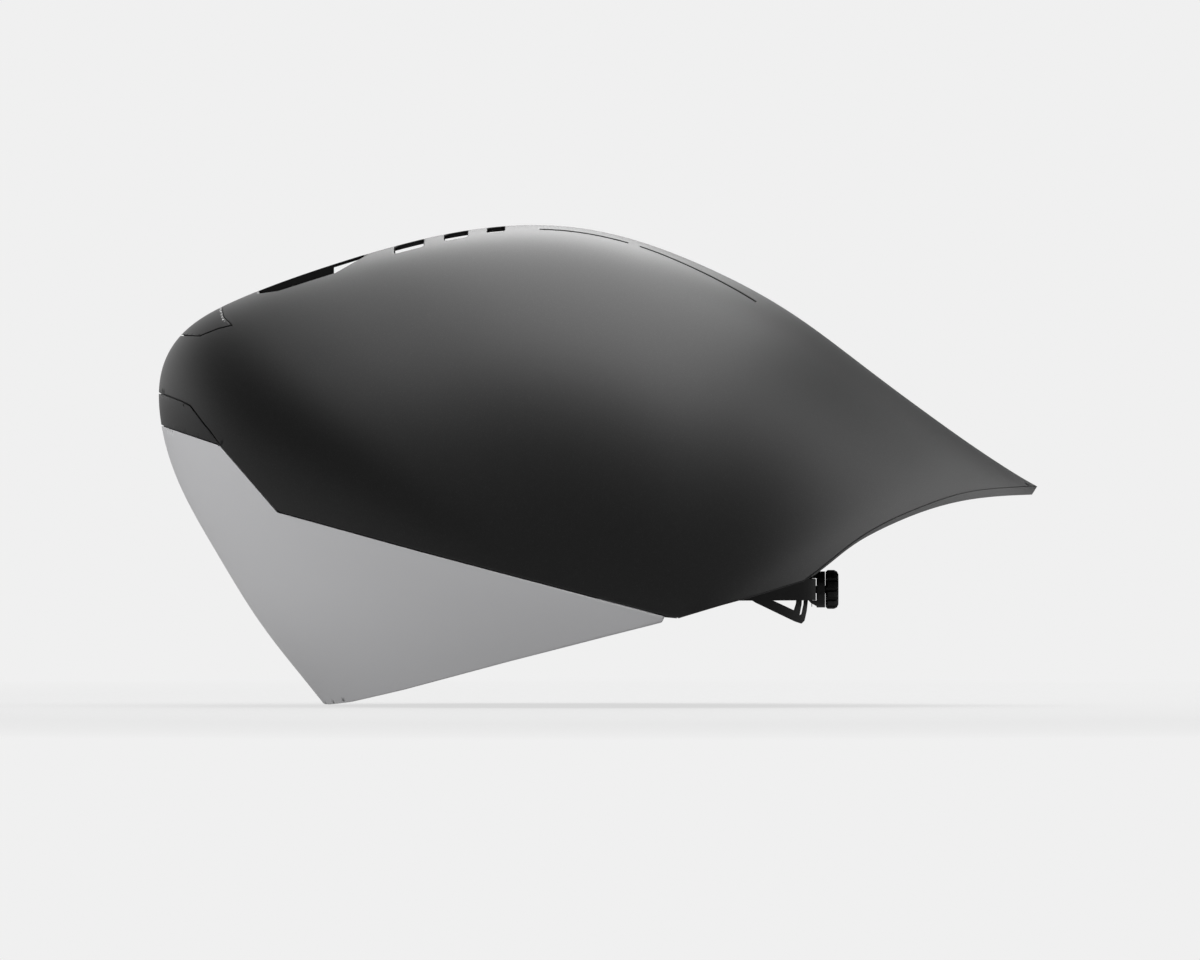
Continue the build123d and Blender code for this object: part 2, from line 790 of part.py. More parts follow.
inside_ring = extrude(
    Pos(0, fit_y) * Ellipse(ring_half_width + glue_line, ring_half_length + glue_line),
    amount=wide_overrun, both=True,
)
rack_room_half = pinion_radius + tooth_fall + rack_bar + rack_side_gap
rack_room = block(
    (-wide_overrun, wide_overrun),
    (rack_y - rack_side_gap, housing_split_y),
    (dial_z - rack_room_half, dial_z + rack_room_half),
)


def screw_pair(outline, y_low, y_high):
    """The same prism left and right of the dial, between the racks."""
    pair = Part()
    for side in (-1, 1):
        pair += extrude(across(y_low) * Pos(side * screw_x, 0) * outline, amount=y_high - y_low)
    return pair


screw_tip_y = housing_rear_y - screw_length
screw_shank = RegularPolygon(screw_radius, screw_sides)
screw_top = RegularPolygon(screw_head_radius, screw_sides)
housing = housing_slab(housing_front_y, housing_split_y) - inside_ring - rack_room
housing -= side_block(HOUSING_UNDERCUT)
screw_post = RegularPolygon(screw_post_radius, screw_sides)
housing += screw_pair(screw_post, rack_y - rack_side_gap, housing_split_y)
housing -= screw_pair(screw_shank, screw_tip_y, housing_split_y)
save("dial_housing", housing)
cover = housing_slab(housing_split_y, housing_rear_y)
cover -= dial_rod(shaft_radius + shaft_clearance, 0, wide_overrun)
cover -= screw_pair(screw_shank, housing_split_y, housing_rear_y)
cover -= screw_pair(screw_top, housing_rear_y - screw_head, housing_rear_y)
save("housing_cover", cover)
screws = screw_pair(screw_shank, screw_tip_y, housing_rear_y - screw_head)
screws += screw_pair(screw_top, housing_rear_y - screw_head, housing_rear_y)
save("housing_screws", screws)

# Dial knob with its stem, and the pinion on it

dial_low_y = housing_rear_y + dial_gap
dial_high_y = dial_low_y + dial_thickness
rear_step = dial_rear_edge / 3
knob_profile = make_face(Plane.YZ * Polyline(
    (dial_low_y, 0), (dial_low_y, dial_radius - dial_front_edge), (dial_low_y + dial_front_edge, dial_radius),
    (dial_high_y - dial_rear_edge, dial_radius), (dial_high_y - rear_step, dial_radius - rear_step),
    (dial_high_y, dial_radius - dial_rear_edge), (dial_high_y, 0), close=True,
))
knob = Pos(0, 0, dial_z) * revolve(knob_profile, Axis.Y)
for step in range(dial_grips):
    turn = 360 / dial_grips * step
    grip = Pos(dial_radius, dial_low_y + dial_thickness / 2, 0) * Rot(90, 0, 0) * Cylinder(
        dial_grip_radius, dial_thickness * 2
    )
    knob -= Pos(0, 0, dial_z) * Rot(0, turn, 0) * grip
knob += dial_rod(shaft_radius, housing_split_y + rack_side_gap, dial_low_y)
knob += dial_rod(stem_radius, rack_y, housing_split_y + rack_side_gap)
save("dial_knob", knob)

tooth_pitch = pi * tooth_module
tooth_tip_half = tooth_pitch * tooth_land_share / 2
tooth_foot_half = tooth_pitch * tooth_root_share / 2
core = Circle(pinion_radius - tooth_fall)
for step in range(pinion_teeth):
    foot = pinion_radius - tooth_fall * 1.2
    tip = pinion_radius + tooth_rise
    tooth = make_face(Polyline(
        (foot, -tooth_foot_half), (tip, -tooth_tip_half), (tip, tooth_tip_half),
        (foot, tooth_foot_half), close=True
    ))
    core += Rot(0, 0, 90 + 360 / pinion_teeth * step) * tooth
core -= Circle(stem_radius)
save("dial_pinion", extrude(across(rack_y) * core, amount=rack_thickness))

# Side bands with their racks


def strip_face(path):
    """A strip of the band's thickness along a route in plan."""
    near = []
    far = []
    for step in range(band_steps + 1):
        share = step / band_steps
        side_way = (path % share).rotate(Axis.Z, 90) * (band_thickness / 2)
        near.append((path @ share) + side_way)
        far.append((path @ share) - side_way)
    ends = Polyline(near[0], far[0]).edges() + Polyline(near[-1], far[-1]).edges()
    return make_face(Spline(*near).edges() + Spline(*far).edges() + ends)


def rack_tooth(middle_x):
    """One tooth of the upper rack, which points down at the pinion."""
    base = pinion_radius + tooth_fall
    tip = pinion_radius - tooth_rise
    return make_face(Polyline(
        (middle_x - tooth_foot_half, base), (middle_x + tooth_foot_half, base),
        (middle_x + tooth_tip_half, tip), (middle_x - tooth_tip_half, tip), close=True
    ))


def band(upper):
    """The left band. Its rack lies over the pinion, or under it for the band to be mirrored."""
    base = pinion_radius + tooth_fall
    rack_end = (rack_half_teeth + 0.5) * tooth_pitch
    bar = make_face(Polyline(
        (-rack_end, base), (band_straight_x, base), (band_straight_x, base + rack_bar),
        (-rack_end, base + rack_bar), close=True
    ))
    offset_share = 0.0 if upper else lower_offset_share
    for step in range(-rack_half_teeth, rack_half_teeth):
        bar += rack_tooth((step + offset_share) * tooth_pitch)
    plane = Plane((0, rack_y, dial_z), x_dir=(1, 0, 0), z_dir=(0, -1, 0))
    rack = extrude(plane * bar, amount=-rack_thickness)
    if not upper:
        rack = mirror(rack, about=Plane.XY.offset(dial_z))
    middle_y = rack_y + band_thickness / 2
    route = [(band_straight_x, middle_y)] + BAND_ROUTE
    path = Spline(*route, tangents=[(1, 0), (-band_end_slope_share, -1)])
    tall = extrude(strip_face(path), amount=wide_overrun, both=True)
    half = band_height / 2
    start_z = band_centre_z(band_end_y)
    shape = side_block([
        (middle_y + overrun, dial_z - half), (middle_y + overrun, dial_z + half),
        (band_rise_y, dial_z + half), (band_end_y, start_z + half),
        (band_end_y, start_z - half), (band_rise_y, dial_z - half),
    ], band_corner)
    paddle_low = post_spot[1] - post_radius - post_slot_gap - paddle_margin
    paddle_high = post_spot[1] + post_radius + post_slot_gap + paddle_margin + height_travel
    shape += side_block([
        (post_y - paddle_half, paddle_low), (post_y + paddle_half, paddle_low),
        (post_y + paddle_half, paddle_high), (post_y - paddle_half, paddle_high),
    ], paddle_corner)
    slot_half = post_radius + post_slot_gap
    shape -= side_block([
        (post_y - slot_half, post_spot[1] - slot_half), (post_y + slot_half, post_spot[1] - slot_half),
        (post_y + slot_half, post_spot[1] + slot_half + height_travel),
        (post_y - slot_half, post_spot[1] + slot_half + height_travel),
    ], post_slot_corner)
    return rack + (tall & shape)


lower_offset_share = 0.5 if pinion_teeth % 2 else 0.0
save("band_left", band(True))
save("band_right", mirrored(band(False)))
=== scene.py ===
# Looks of the aero time trial helmet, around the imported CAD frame. Metres, in the CAD's frame.

from math import cos, pi, radians, sin

import bmesh
import bpy
import numpy as np
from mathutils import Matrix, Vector
from mathutils.geometry import delaunay_2d_cdt

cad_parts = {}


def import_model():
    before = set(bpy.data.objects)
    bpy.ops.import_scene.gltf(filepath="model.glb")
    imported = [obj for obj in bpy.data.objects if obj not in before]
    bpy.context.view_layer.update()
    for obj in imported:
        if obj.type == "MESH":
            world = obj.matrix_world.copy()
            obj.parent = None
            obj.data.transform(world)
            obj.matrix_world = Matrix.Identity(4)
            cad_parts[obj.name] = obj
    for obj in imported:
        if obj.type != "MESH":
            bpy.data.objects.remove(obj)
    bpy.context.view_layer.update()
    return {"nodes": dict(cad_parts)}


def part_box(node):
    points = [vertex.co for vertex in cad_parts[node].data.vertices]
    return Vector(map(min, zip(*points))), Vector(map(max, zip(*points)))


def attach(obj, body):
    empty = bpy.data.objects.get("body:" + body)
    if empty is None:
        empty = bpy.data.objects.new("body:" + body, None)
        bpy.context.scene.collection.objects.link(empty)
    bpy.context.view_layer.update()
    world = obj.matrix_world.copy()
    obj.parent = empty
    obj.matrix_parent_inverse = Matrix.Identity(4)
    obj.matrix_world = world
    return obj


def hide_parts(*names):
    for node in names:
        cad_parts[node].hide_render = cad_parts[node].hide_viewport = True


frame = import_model()
nodes = frame["nodes"]
scene = bpy.context.scene
MM = 0.001
MIRRORED = np.array([-1, 1, 1])

# Sizes of the outer form in millimetres and shares, as in the CAD source

LENGTH = 439.0
CROWN = 157.5
HALF_WIDTH = 140.0
NOSE_Y = -0.501 * LENGTH
POLE_SHARE = (0.547, -0.349)
FRONT_FULLNESS, TAIL_FULLNESS = 2.3, 1.7
FRONT_ROUNDNESS, TAIL_ROUNDNESS = 2.0, 1.6
PROFILE = [
    (0.211, -0.600), (0.164, -0.442), (0.109, -0.242), (0.058, -0.010), (0.016, 0.218),
    (0.000, 0.394), (0.001, 0.528), (0.024, 0.651), (0.088, 0.763), (0.202, 0.879),
    (0.335, 0.976), (0.479, 0.990), (0.609, 0.882), (0.712, 0.733), (0.800, 0.555),
    (0.883, 0.383), (0.959, 0.237), (1.024, 0.135), (1.101, 0.036),
]
FRONT_RIM = [
    (-0.046, 0.410), (0.070, 0.303), (0.136, 0.092), (0.172, 0.065), (0.296, -0.030),
    (0.559, -0.224), (0.588, -0.244), (0.638, -0.203), (0.671, -0.178), (0.731, -0.127),
]
TAIL_EDGE = [
    (0.731, -0.127), (0.754, -0.079), (0.789, -0.003), (0.821, 0.051), (0.866, 0.106),
    (0.911, 0.147), (0.965, 0.166), (1.010, 0.173),
]
LENS_LOW = [
    (0.571, -0.256), (0.506, -0.302), (0.396, -0.381), (0.276, -0.472), (0.218, -0.511),
    (0.193, -0.521), (-0.060, -0.521),
]
LENS_REAR = (0.574, -0.237)
BROW = [
    (-0.023, 0.483), (0.004, 0.461), (0.027, 0.437), (0.036, 0.424), (0.050, 0.373),
    (0.059, 0.343), (0.070, 0.303), (-0.046, 0.410),
]
CREST = [
    (0.017, 0.654), (0.032, 0.650), (0.046, 0.648), (0.067, 0.671), (0.082, 0.681),
    (0.073, 0.705), (0.067, 0.762), (0.017, 0.762),
]
INLET = [(0.112, 0.781), (0.135, 0.789), (0.200, 0.846), (0.232, 0.898), (0.232, 1.3), (0.112, 1.3)]
SLOTS = [(-103.0, 15.0, 28.0), (-78.0, 12.0, 26.5), (-56.5, 9.0, 24.0)]
GROOVES = [(-30.0, 14.0, 22.0, 24.0), (20.0, 78.0, 24.0, 30.0)]
SPINE_HALF = 3.5
GROOVE_HALF = 1.2
SEAM = 0.5
SHELL_WALL = 1.2
LENS_WALL = 1.6
RIM_CORNER = 3.0
SLOT_CORNER = 3.0
LENS_CORNER = 0.8
# Where the front's fullness and roundness begin to turn into the tail's, and over what angle
TAIL_FROM, TAIL_OVER = pi / 2, pi / 3
# How far inside a skin's rounded edge its even mesh begins
RING = 0.5
# The solids swell a little past the exact form near the shell's lowest corner, so the skins do too
SWELL = 1.0
SWELL_SPOT = (50.0, -31.0)
SWELL_REACH = 12.0
# The angles between which a place in plan is looked for, and the halvings that find it
PLAN_ANGLES = (radians(20), radians(160))
HALVINGS = 50
# How far past the crest a hole reaches there, and the height of a row of even triangles
PAST_CREST = 1.05
ROW_HEIGHT = 0.87


def spot(share):
    """A place in the side view from shares of the length and of the crown's height."""
    return (NOSE_Y + share[0] * LENGTH, share[1] * CROWN)


POLE_Y, POLE_Z = spot(POLE_SHARE)


class Natural:
    """A smooth curve through values at rising places."""

    def __init__(self, places, values):
        x = np.asarray(places, float)
        y = np.asarray(values, float)
        n = len(x)
        h = np.diff(x)
        a = np.zeros((n, n))
        b = np.zeros(n)
        a[0, 0] = a[-1, -1] = 1
        for i in range(1, n - 1):
            a[i, i - 1] = h[i - 1]
            a[i, i] = 2 * (h[i - 1] + h[i])
            a[i, i + 1] = h[i]
            b[i] = 6 * ((y[i + 1] - y[i]) / h[i] - (y[i] - y[i - 1]) / h[i - 1])
        self.x, self.y, self.h, self.m = x, y, h, np.linalg.solve(a, b)

    def __call__(self, at):
        at = np.asarray(at, float)
        i = np.clip(np.searchsorted(self.x, at) - 1, 0, len(self.h) - 1)
        x0, x1, h = self.x[i], self.x[i + 1], self.h[i]
        m0, m1 = self.m[i], self.m[i + 1]
        left, right = x1 - at, at - x0
        return (
            (m0 * left ** 3 + m1 * right ** 3) / (6 * h)
            + (self.y[i] / h - m0 * h / 6) * left
            + (self.y[i + 1] / h - m1 * h / 6) * right
        )


def polar(y, z):
    """Angle round the pole line, from the front over to the tail, and distance from it."""
    return np.arctan2(z - POLE_Z, POLE_Y - y), np.hypot(y - POLE_Y, z - POLE_Z)


profile_angles, profile_reaches = [], []
for share in PROFILE:
    angle, reach = polar(*spot(share))
    profile_angles.append(float(angle))
    profile_reaches.append(float(reach))
outer_reach = Natural(profile_angles, profile_reaches)


def shape_at(angle):
    """The form's fullness and roundness at an angle round the pole line."""
    blend = np.clip((angle - TAIL_FROM) / TAIL_OVER, 0, 1)
    blend = blend * blend * (3 - 2 * blend)
    return (
        FRONT_FULLNESS + (TAIL_FULLNESS - FRONT_FULLNESS) * blend,
        FRONT_ROUNDNESS + (TAIL_ROUNDNESS - FRONT_ROUNDNESS) * blend,
    )


def on_form(angle, turn, inset):
    """Points of the form, shrunk by the inset, at angles round the pole and turns from the crest."""
    fullness, roundness = shape_at(angle)
    reach = outer_reach(angle) - inset
    half = HALF_WIDTH - inset
    x = half * np.sin(turn) ** (2 / roundness)
    out = reach * np.cos(turn) ** (2 / fullness)
    return x, POLE_Y - out * np.cos(angle), POLE_Z + out * np.sin(angle)


def from_side(y, z, inset=0.0):
    """The angle and turn of the form at a place in the side view. Outside it, the turn is 0."""
    angle, out = polar(np.asarray(y, float), np.asarray(z, float))
    fullness, _ = shape_at(angle)
    share = np.clip(out / (outer_reach(angle) - inset), 0, 1)
    return angle, np.arccos(share ** (fullness / 2))


def from_plan(x, y, inset=0.0):
    """The angle and turn of the form's top at a place in plan."""
    low, high = PLAN_ANGLES
    for _ in range(HALVINGS):
        middle = (low + high) / 2
        _, roundness = shape_at(middle)
        turn = np.arcsin(min(1.0, (x / (HALF_WIDTH - inset)) ** (roundness / 2)))
        if on_form(middle, turn, inset)[1] < y:
            low = middle
        else:
            high = middle
    return middle, float(turn)


def flat_place(angle, turn):
    """A place of the form on a flat map: the pole line's end in the middle, the crest around it."""
    reach = outer_reach(angle) * (pi / 2 - turn)
    return np.stack([-np.cos(angle) * reach, np.sin(angle) * reach], axis=-1)


def from_flat(places):
    """The angle and turn of places on the flat map."""
    angle = np.arctan2(places[:, 1], -places[:, 0])
    turn = pi / 2 - np.hypot(places[:, 0], places[:, 1]) / outer_reach(angle)
    turn[turn < 1e-4] = 0
    return angle, turn


def dense(points, step=1.5, closed=True):
    """Points at most a step apart along straight runs."""
    result = []
    count = len(points) if closed else len(points) - 1
    for i in range(count):
        a = np.array(points[i], float)
        b = np.array(points[(i + 1) % len(points)], float)
        pieces = max(1, int(np.ceil(np.linalg.norm(b - a) / step)))
        for k in range(pieces):
            result.append(tuple(a + (b - a) * k / pieces))
    if not closed:
        result.append(tuple(points[-1]))
    return result


def smooth_run(points, count):
    """A smooth curve through points, by their distance along."""
    points = np.array(points, float)
    along = np.concatenate([[0], np.cumsum(np.linalg.norm(np.diff(points, axis=0), axis=1))])
    at = np.linspace(0, along[-1], count)
    return list(zip(Natural(along, points[:, 0])(at), Natural(along, points[:, 1])(at)))


def rounded(points, radius, steps=5, ends=True):
    """Straight runs whose inner corners are rounded."""
    result = [points[0]] if ends else []
    span = range(1, len(points) - 1) if ends else range(len(points))
    for i in span:
        p = np.array(points[i], float)
        a = np.array(points[i - 1], float) - p
        b = np.array(points[(i + 1) % len(points)], float) - p
        la, lb = np.linalg.norm(a), np.linalg.norm(b)
        cut = min(radius, la * 0.45, lb * 0.45)
        start, stop = p + a / la * cut, p + b / lb * cut
        for k in range(steps + 1):
            t = k / steps
            result.append(tuple((1 - t) ** 2 * start + 2 * t * (1 - t) * p + t * t * stop))
    if ends:
        result.append(points[-1])
    return result


def inside(points, loop):
    """Which points lie in a loop."""
    x, y = points[:, 0], points[:, 1]
    result = np.zeros(len(points), bool)
    loop = np.asarray(loop)
    ax, ay = loop[:, 0], loop[:, 1]
    bx, by = np.roll(ax, -1), np.roll(ay, -1)
    for i in range(len(loop)):
        if ay[i] == by[i]:
            continue
        crosses = (ay[i] > y) != (by[i] > y)
        at = (bx[i] - ax[i]) * (y - ay[i]) / (by[i] - ay[i]) + ax[i]
        result ^= crosses & (x < at)
    return result


def without_repeats(loop, gap=0.05):
    """A loop less the points that lie on the one before them."""
    keep = [0]
    for i in range(1, len(loop)):
        if np.linalg.norm(loop[i] - loop[keep[-1]]) > gap:
            keep.append(i)
    if np.linalg.norm(loop[keep[-1]] - loop[0]) < gap:
        keep.pop()
    return loop[keep]


def side_loop(outline, step=1.5):
    """An outline of the side view on the flat map. What lies outside the form goes to its crest."""
    y, z = np.array(dense(outline, step)).T
    return without_repeats(flat_place(*from_side(y, z)))


def side_hole(outline, step=1.0):
    """A hole from an outline of the side view, which may reach past the crest."""
    y, z = np.array(dense(outline, step)).T
    angle, out = polar(y, z)
    places = flat_place(*from_side(y, z))
    past = out > outer_reach(angle)
    places[past] *= PAST_CREST
    return without_repeats(places)


def plan_hole(points, step=1.5):
    """A hole from an outline in plan."""
    loop = []
    for x, y in dense(points, step):
        angle, turn = from_plan(x, y)
        loop.append(flat_place(np.array(angle), np.array(turn)))
    return np.array(loop)


def add_piece(name, verts, faces, body, replaced=(), material=None, smooth=True):
    """A mesh piece that rides on a body and may replace CAD nodes."""
    mesh = bpy.data.meshes.new(name)
    mesh.from_pydata([tuple(v) for v in verts], [], faces)
    mesh.update()
    obj = bpy.data.objects.new(name, mesh)
    scene.collection.objects.link(obj)
    if material:
        mesh.materials.append(material)
    if smooth:
        for polygon in mesh.polygons:
            polygon.use_smooth = True
    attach(obj, body)
    if replaced:
        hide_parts(*replaced)
    return obj


def clear_of(points, fences, gap):
    """The points at least a gap away from every fence point."""
    kept = []
    for point in points:
        if np.min(np.sum((fences - point) ** 2, axis=1)) > gap * gap:
            kept.append(point)
    return np.array(kept)


def mesh_area(loop, holes, grid):
    """Places and faces of an even triangle mesh inside a loop, less its holes."""
    low, high = loop.min(axis=0), loop.max(axis=0)
    rows = []
    for row, v in enumerate(np.arange(low[1], high[1], grid * ROW_HEIGHT)):
        for u in np.arange(low[0] + (row % 2) * grid / 2, high[0], grid):
            rows.append((u, v))
    points = np.array(rows)
    points = points[inside(points, loop)]
    for hole in holes:
        points = points[~inside(points, hole)]
    borders = [loop] + list(holes)
    points = clear_of(points, np.concatenate(borders), grid * 0.5)
    flat = [Vector(p) for p in points]
    edges = []
    for border in borders:
        first, count = len(flat), len(border)
        flat.extend(Vector(p) for p in border)
        edges.extend((first + i, first + (i + 1) % count) for i in range(count))
    places, _, faces, _, _, _ = delaunay_2d_cdt(flat, edges, [], 0, 1e-4)
    places = np.array([tuple(v) for v in places])
    centres = np.array([places[list(face)].mean(axis=0) for face in faces])
    good = inside(centres, loop)
    for hole in holes:
        good &= ~inside(centres, hole)
    return places, [tuple(face) for face, ok in zip(faces, good) if ok]


def form_patch(name, outline, holes, wall, body, replaced, material,
               grid=4.0, edge=0.35, sink=0.0):
    """A skin piece: the form inside a side outline, less holes on the flat map."""
    places, faces = mesh_area(side_loop(outline), holes, grid)
    verts, result = skin_from_map(places, faces, wall, edge, sink)
    obj = add_piece(name, verts, result, body, replaced, material)
    joined = bmesh.new()
    joined.from_mesh(obj.data)
    seam = [v for v in joined.verts if abs(v.co.x) < 1e-7]
    bmesh.ops.remove_doubles(joined, verts=seam, dist=1e-6)
    joined.to_mesh(obj.data)
    joined.free()
    for polygon in obj.data.polygons:
        polygon.use_smooth = True
    return obj


def border_of(faces):
    """The next border point after each border point of a mesh."""
    seen = set()
    for face in faces:
        for i, a in enumerate(face):
            seen.add((a, face[(i + 1) % len(face)]))
    return {a: b for a, b in seen if (b, a) not in seen}


def inward_ways(places, follow, rim, on_crest):
    """The way in from each point of the border, of a length that moves both edges there by 1."""
    before = {b: a for a, b in follow.items()}
    inward = {}
    for a in set(rim) | set(follow[v] for v in rim):
        normals, steps = [], []
        for start, stop in ((before.get(a), a), (a, follow.get(a))):
            if start is None or stop is None:
                continue
            run = places[stop] - places[start]
            run /= np.linalg.norm(run)
            normals.append(np.array([-run[1], run[0]]))
            steps.append(0.0 if on_crest[start] and on_crest[stop] else 1.0)
        matrix = np.array(normals)
        if len(normals) == 2 and abs(np.linalg.det(matrix)) > 0.25:
            shift = np.linalg.solve(matrix, np.array(steps))
        else:
            mean = matrix.mean(axis=0)
            shift = mean / max(0.5, np.linalg.norm(mean)) * max(steps)
        inward[a] = shift / max(1.0, np.linalg.norm(shift) / 1.8)
    return inward


def skin_from_map(places, faces, wall, edge, sink):
    """Outer and inner surface of a meshed area of the flat map, joined by rounded edges."""
    follow = border_of(faces)
    on_crest = from_flat(places)[1] <= 0
    rim = [a for a, b in follow.items() if not (on_crest[a] and on_crest[b])]
    inward = inward_ways(places, follow, rim, on_crest)
    moved = places.copy()
    for a, way in inward.items():
        moved[a] = places[a] + way * (edge + RING)
    verts, index = [], {}

    def put(key, place, inset, crest):
        angle, turn = from_flat(np.array([place]))
        if crest:
            turn[:] = 0
        x, y, z = on_form(angle, turn, inset + sink)
        away = (y[0] - SWELL_SPOT[0]) ** 2 + (z[0] - SWELL_SPOT[1]) ** 2
        x = x + SWELL * np.exp(-away / (2 * SWELL_REACH ** 2))
        index[key] = len(verts)
        verts.append((x[0] * MM, y[0] * MM, z[0] * MM))

    for v in sorted(set(v for face in faces for v in face)):
        put(("out", v), moved[v], 0.0, on_crest[v])
        put(("in", v), moved[v], wall, on_crest[v])
    deep = wall / edge
    profile = [(1.0, 0.0), (0.3, 0.3), (0.0, 1.0), (0.0, deep - 1.0), (0.3, deep - 0.3), (1.0, deep)]
    for v in inward:
        for k, (side, depth) in enumerate(profile):
            put((k, v), places[v] + inward[v] * edge * side, depth * edge, on_crest[v])
    chain = ["out", 0, 1, 2, 3, 4, 5, "in"]
    result = [tuple(index[("out", v)] for v in face) for face in faces]
    result += [tuple(index[("in", v)] for v in reversed(face)) for face in faces]
    for a in rim:
        b = follow[a]
        for upper, lower in zip(chain, chain[1:]):
            result.append((index[(upper, b)], index[(upper, a)], index[(lower, a)], index[(lower, b)]))
    left = np.array(verts)
    count = len(left)
    result += [tuple(count + i for i in reversed(face)) for face in result]
    return np.concatenate([left, left * MIRRORED]), result


# Materials


def new_material(name, color, roughness, metallic=0.0):
    """A material, its node tree and its shader."""
    material = bpy.data.materials.new(name)
    material.use_nodes = True
    shader = material.node_tree.nodes["Principled BSDF"]
    shader.inputs["Base Color"].default_value = (*color, 1)
    shader.inputs["Roughness"].default_value = roughness
    shader.inputs["Metallic"].default_value = metallic
    return material, material.node_tree, shader


def add_bump(tree, shader, height_socket, strength, distance):
    """A bump that follows a height."""
    bump = tree.nodes.new("ShaderNodeBump")
    bump.inputs["Strength"].default_value = strength
    bump.inputs["Distance"].default_value = distance
    tree.links.new(height_socket, bump.inputs["Height"])
    tree.links.new(bump.outputs["Normal"], shader.inputs["Normal"])


def coordinates(tree):
    """The object's own coordinates, in metres."""
    return tree.nodes.new("ShaderNodeTexCoord").outputs["Object"]


def noise(tree, scale, detail=2.0):
    """Fine noise in the object's own coordinates."""
    node = tree.nodes.new("ShaderNodeTexNoise")
    node.inputs["Scale"].default_value = scale
    node.inputs["Detail"].default_value = detail
    node.inputs["Roughness"].default_value = 0.5
    tree.links.new(coordinates(tree), node.inputs["Vector"])
    return node


def ramp(tree, socket, stops):
    """A colour that runs through stops as a value goes from 0 to 1."""
    node = tree.nodes.new("ShaderNodeValToRGB")
    elements = node.color_ramp.elements
    elements[0].position, elements[0].color = stops[0][0], (*stops[0][1], 1)
    elements[1].position, elements[1].color = stops[-1][0], (*stops[-1][1], 1)
    for place, color in stops[1:-1]:
        element = elements.new(place)
        element.color = (*color, 1)
    tree.links.new(socket, node.inputs["Fac"])
    return node.outputs["Color"]


def grey(value):
    """A very slightly cool grey."""
    return (value, value, value * 1.02)


def shell_paint():
    """Matte black paint with a fine metallic speckle."""
    material, tree, shader = new_material("matte_paint", grey(0.006), 0.45)
    fine = noise(tree, 2600.0, 1.0)
    tree.links.new(
        ramp(tree, fine.outputs["Fac"], [(0.3, grey(0.003)), (0.6, grey(0.006)), (0.8, grey(0.03))]),
        shader.inputs["Base Color"],
    )
    add_bump(tree, shader, fine.outputs["Fac"], 0.12, 0.0002)
    shader.inputs["Specular IOR Level"].default_value = 0.7
    return material


def plastic(name, value, roughness, grain=900.0, strength=0.1):
    """Black or grey plastic with a fine moulded grain."""
    material, tree, shader = new_material(name, grey(value), roughness)
    fine = noise(tree, grain, 2.0)
    tree.links.new(
        ramp(tree, fine.outputs["Fac"], [(0.3, grey(value * 0.85)), (0.7, grey(value * 1.2))]),
        shader.inputs["Base Color"],
    )
    add_bump(tree, shader, fine.outputs["Fac"], strength, 0.0002)
    return material


def mirror_lens():
    """Grey mirrored lens plastic. Its pale grey is partly the lens's own grey and partly a painted
    reflection of the pale studio. It darkens towards its lower edge as painted shade, where less light falls
    from above.
    """
    material, tree, shader = new_material("mirror_lens", grey(0.5), 0.42)
    shader.inputs["Specular IOR Level"].default_value = 0.3
    shader.inputs["Coat Weight"].default_value = 0.15
    shader.inputs["Coat Roughness"].default_value = 0.05
    split = tree.nodes.new("ShaderNodeSeparateXYZ")
    tree.links.new(coordinates(tree), split.inputs["Vector"])
    height = tree.nodes.new("ShaderNodeMapRange")
    height.inputs["From Min"].default_value = -0.085
    height.inputs["From Max"].default_value = 0.055
    tree.links.new(split.outputs["Z"], height.inputs["Value"])
    # Base colour from pale grey at the top to darker grey at the bottom: partly a painted reflection of the
    # pale studio, with painted shade towards the lower edge.
    tree.links.new(
        ramp(tree, height.outputs["Result"], [(0.0, grey(0.55)), (0.45, grey(0.66)), (1.0, grey(0.72))]),
        shader.inputs["Base Color"],
    )
    return material


def foam():
    """Moulded bead foam, darker towards each bead's edge: painted shade in the sunken gaps between the
    beads.
    """
    material, tree, shader = new_material("bead_foam", grey(0.03), 0.75)
    beads = tree.nodes.new("ShaderNodeTexVoronoi")
    beads.inputs["Scale"].default_value = 330.0
    tree.links.new(coordinates(tree), beads.inputs["Vector"])
    # Darker where each bead's edge sinks: painted shade in the gaps between the beads.
    tree.links.new(
        ramp(tree, beads.outputs["Distance"], [(0.0, grey(0.045)), (0.55, grey(0.03)), (0.8, grey(0.012))]),
        shader.inputs["Base Color"],
    )
    add_bump(tree, shader, beads.outputs["Distance"], -0.35, 0.0006)
    return material


def cloth(name, value, scale, sheen=0.25):
    """Woven cloth: two crossed sets of threads along the piece's own map, in millimetres. The weave is
    darker where the threads sink: painted shade between the threads.
    """
    material, tree, shader = new_material(name, grey(value), 0.9)
    weave = tree.nodes.new("ShaderNodeAttribute")
    weave.attribute_name = "weave"
    vector = weave.outputs["Vector"]
    waves = []
    for direction in ("X", "Y"):
        wave = tree.nodes.new("ShaderNodeTexWave")
        wave.bands_direction = direction
        wave.inputs["Scale"].default_value = scale
        wave.inputs["Distortion"].default_value = 0.6
        tree.links.new(vector, wave.inputs["Vector"])
        waves.append(wave.outputs["Fac"])
    mix = tree.nodes.new("ShaderNodeMath")
    mix.operation = "MULTIPLY"
    tree.links.new(waves[0], mix.inputs[0])
    tree.links.new(waves[1], mix.inputs[1])
    # The weave's pattern, darker where the threads sink: painted shade in the gaps between the threads.
    tree.links.new(
        ramp(tree, mix.outputs[0], [(0.0, grey(value * 0.6)), (1.0, grey(value * 1.5))]),
        shader.inputs["Base Color"],
    )
    add_bump(tree, shader, mix.outputs[0], 0.4, 0.0003)
    shader.inputs["Sheen Weight"].default_value = sheen
    return material


def steel():
    """Plain brushed steel for the magnets and screws."""
    material, tree, shader = new_material("plain_steel", (0.55, 0.55, 0.56), 0.3, metallic=1.0)
    fine = noise(tree, 1500.0, 2.0)
    tree.links.new(
        ramp(tree, fine.outputs["Fac"], [(0.3, (0.5, 0.5, 0.51)), (0.7, (0.6, 0.6, 0.62))]),
        shader.inputs["Base Color"],
    )
    return material


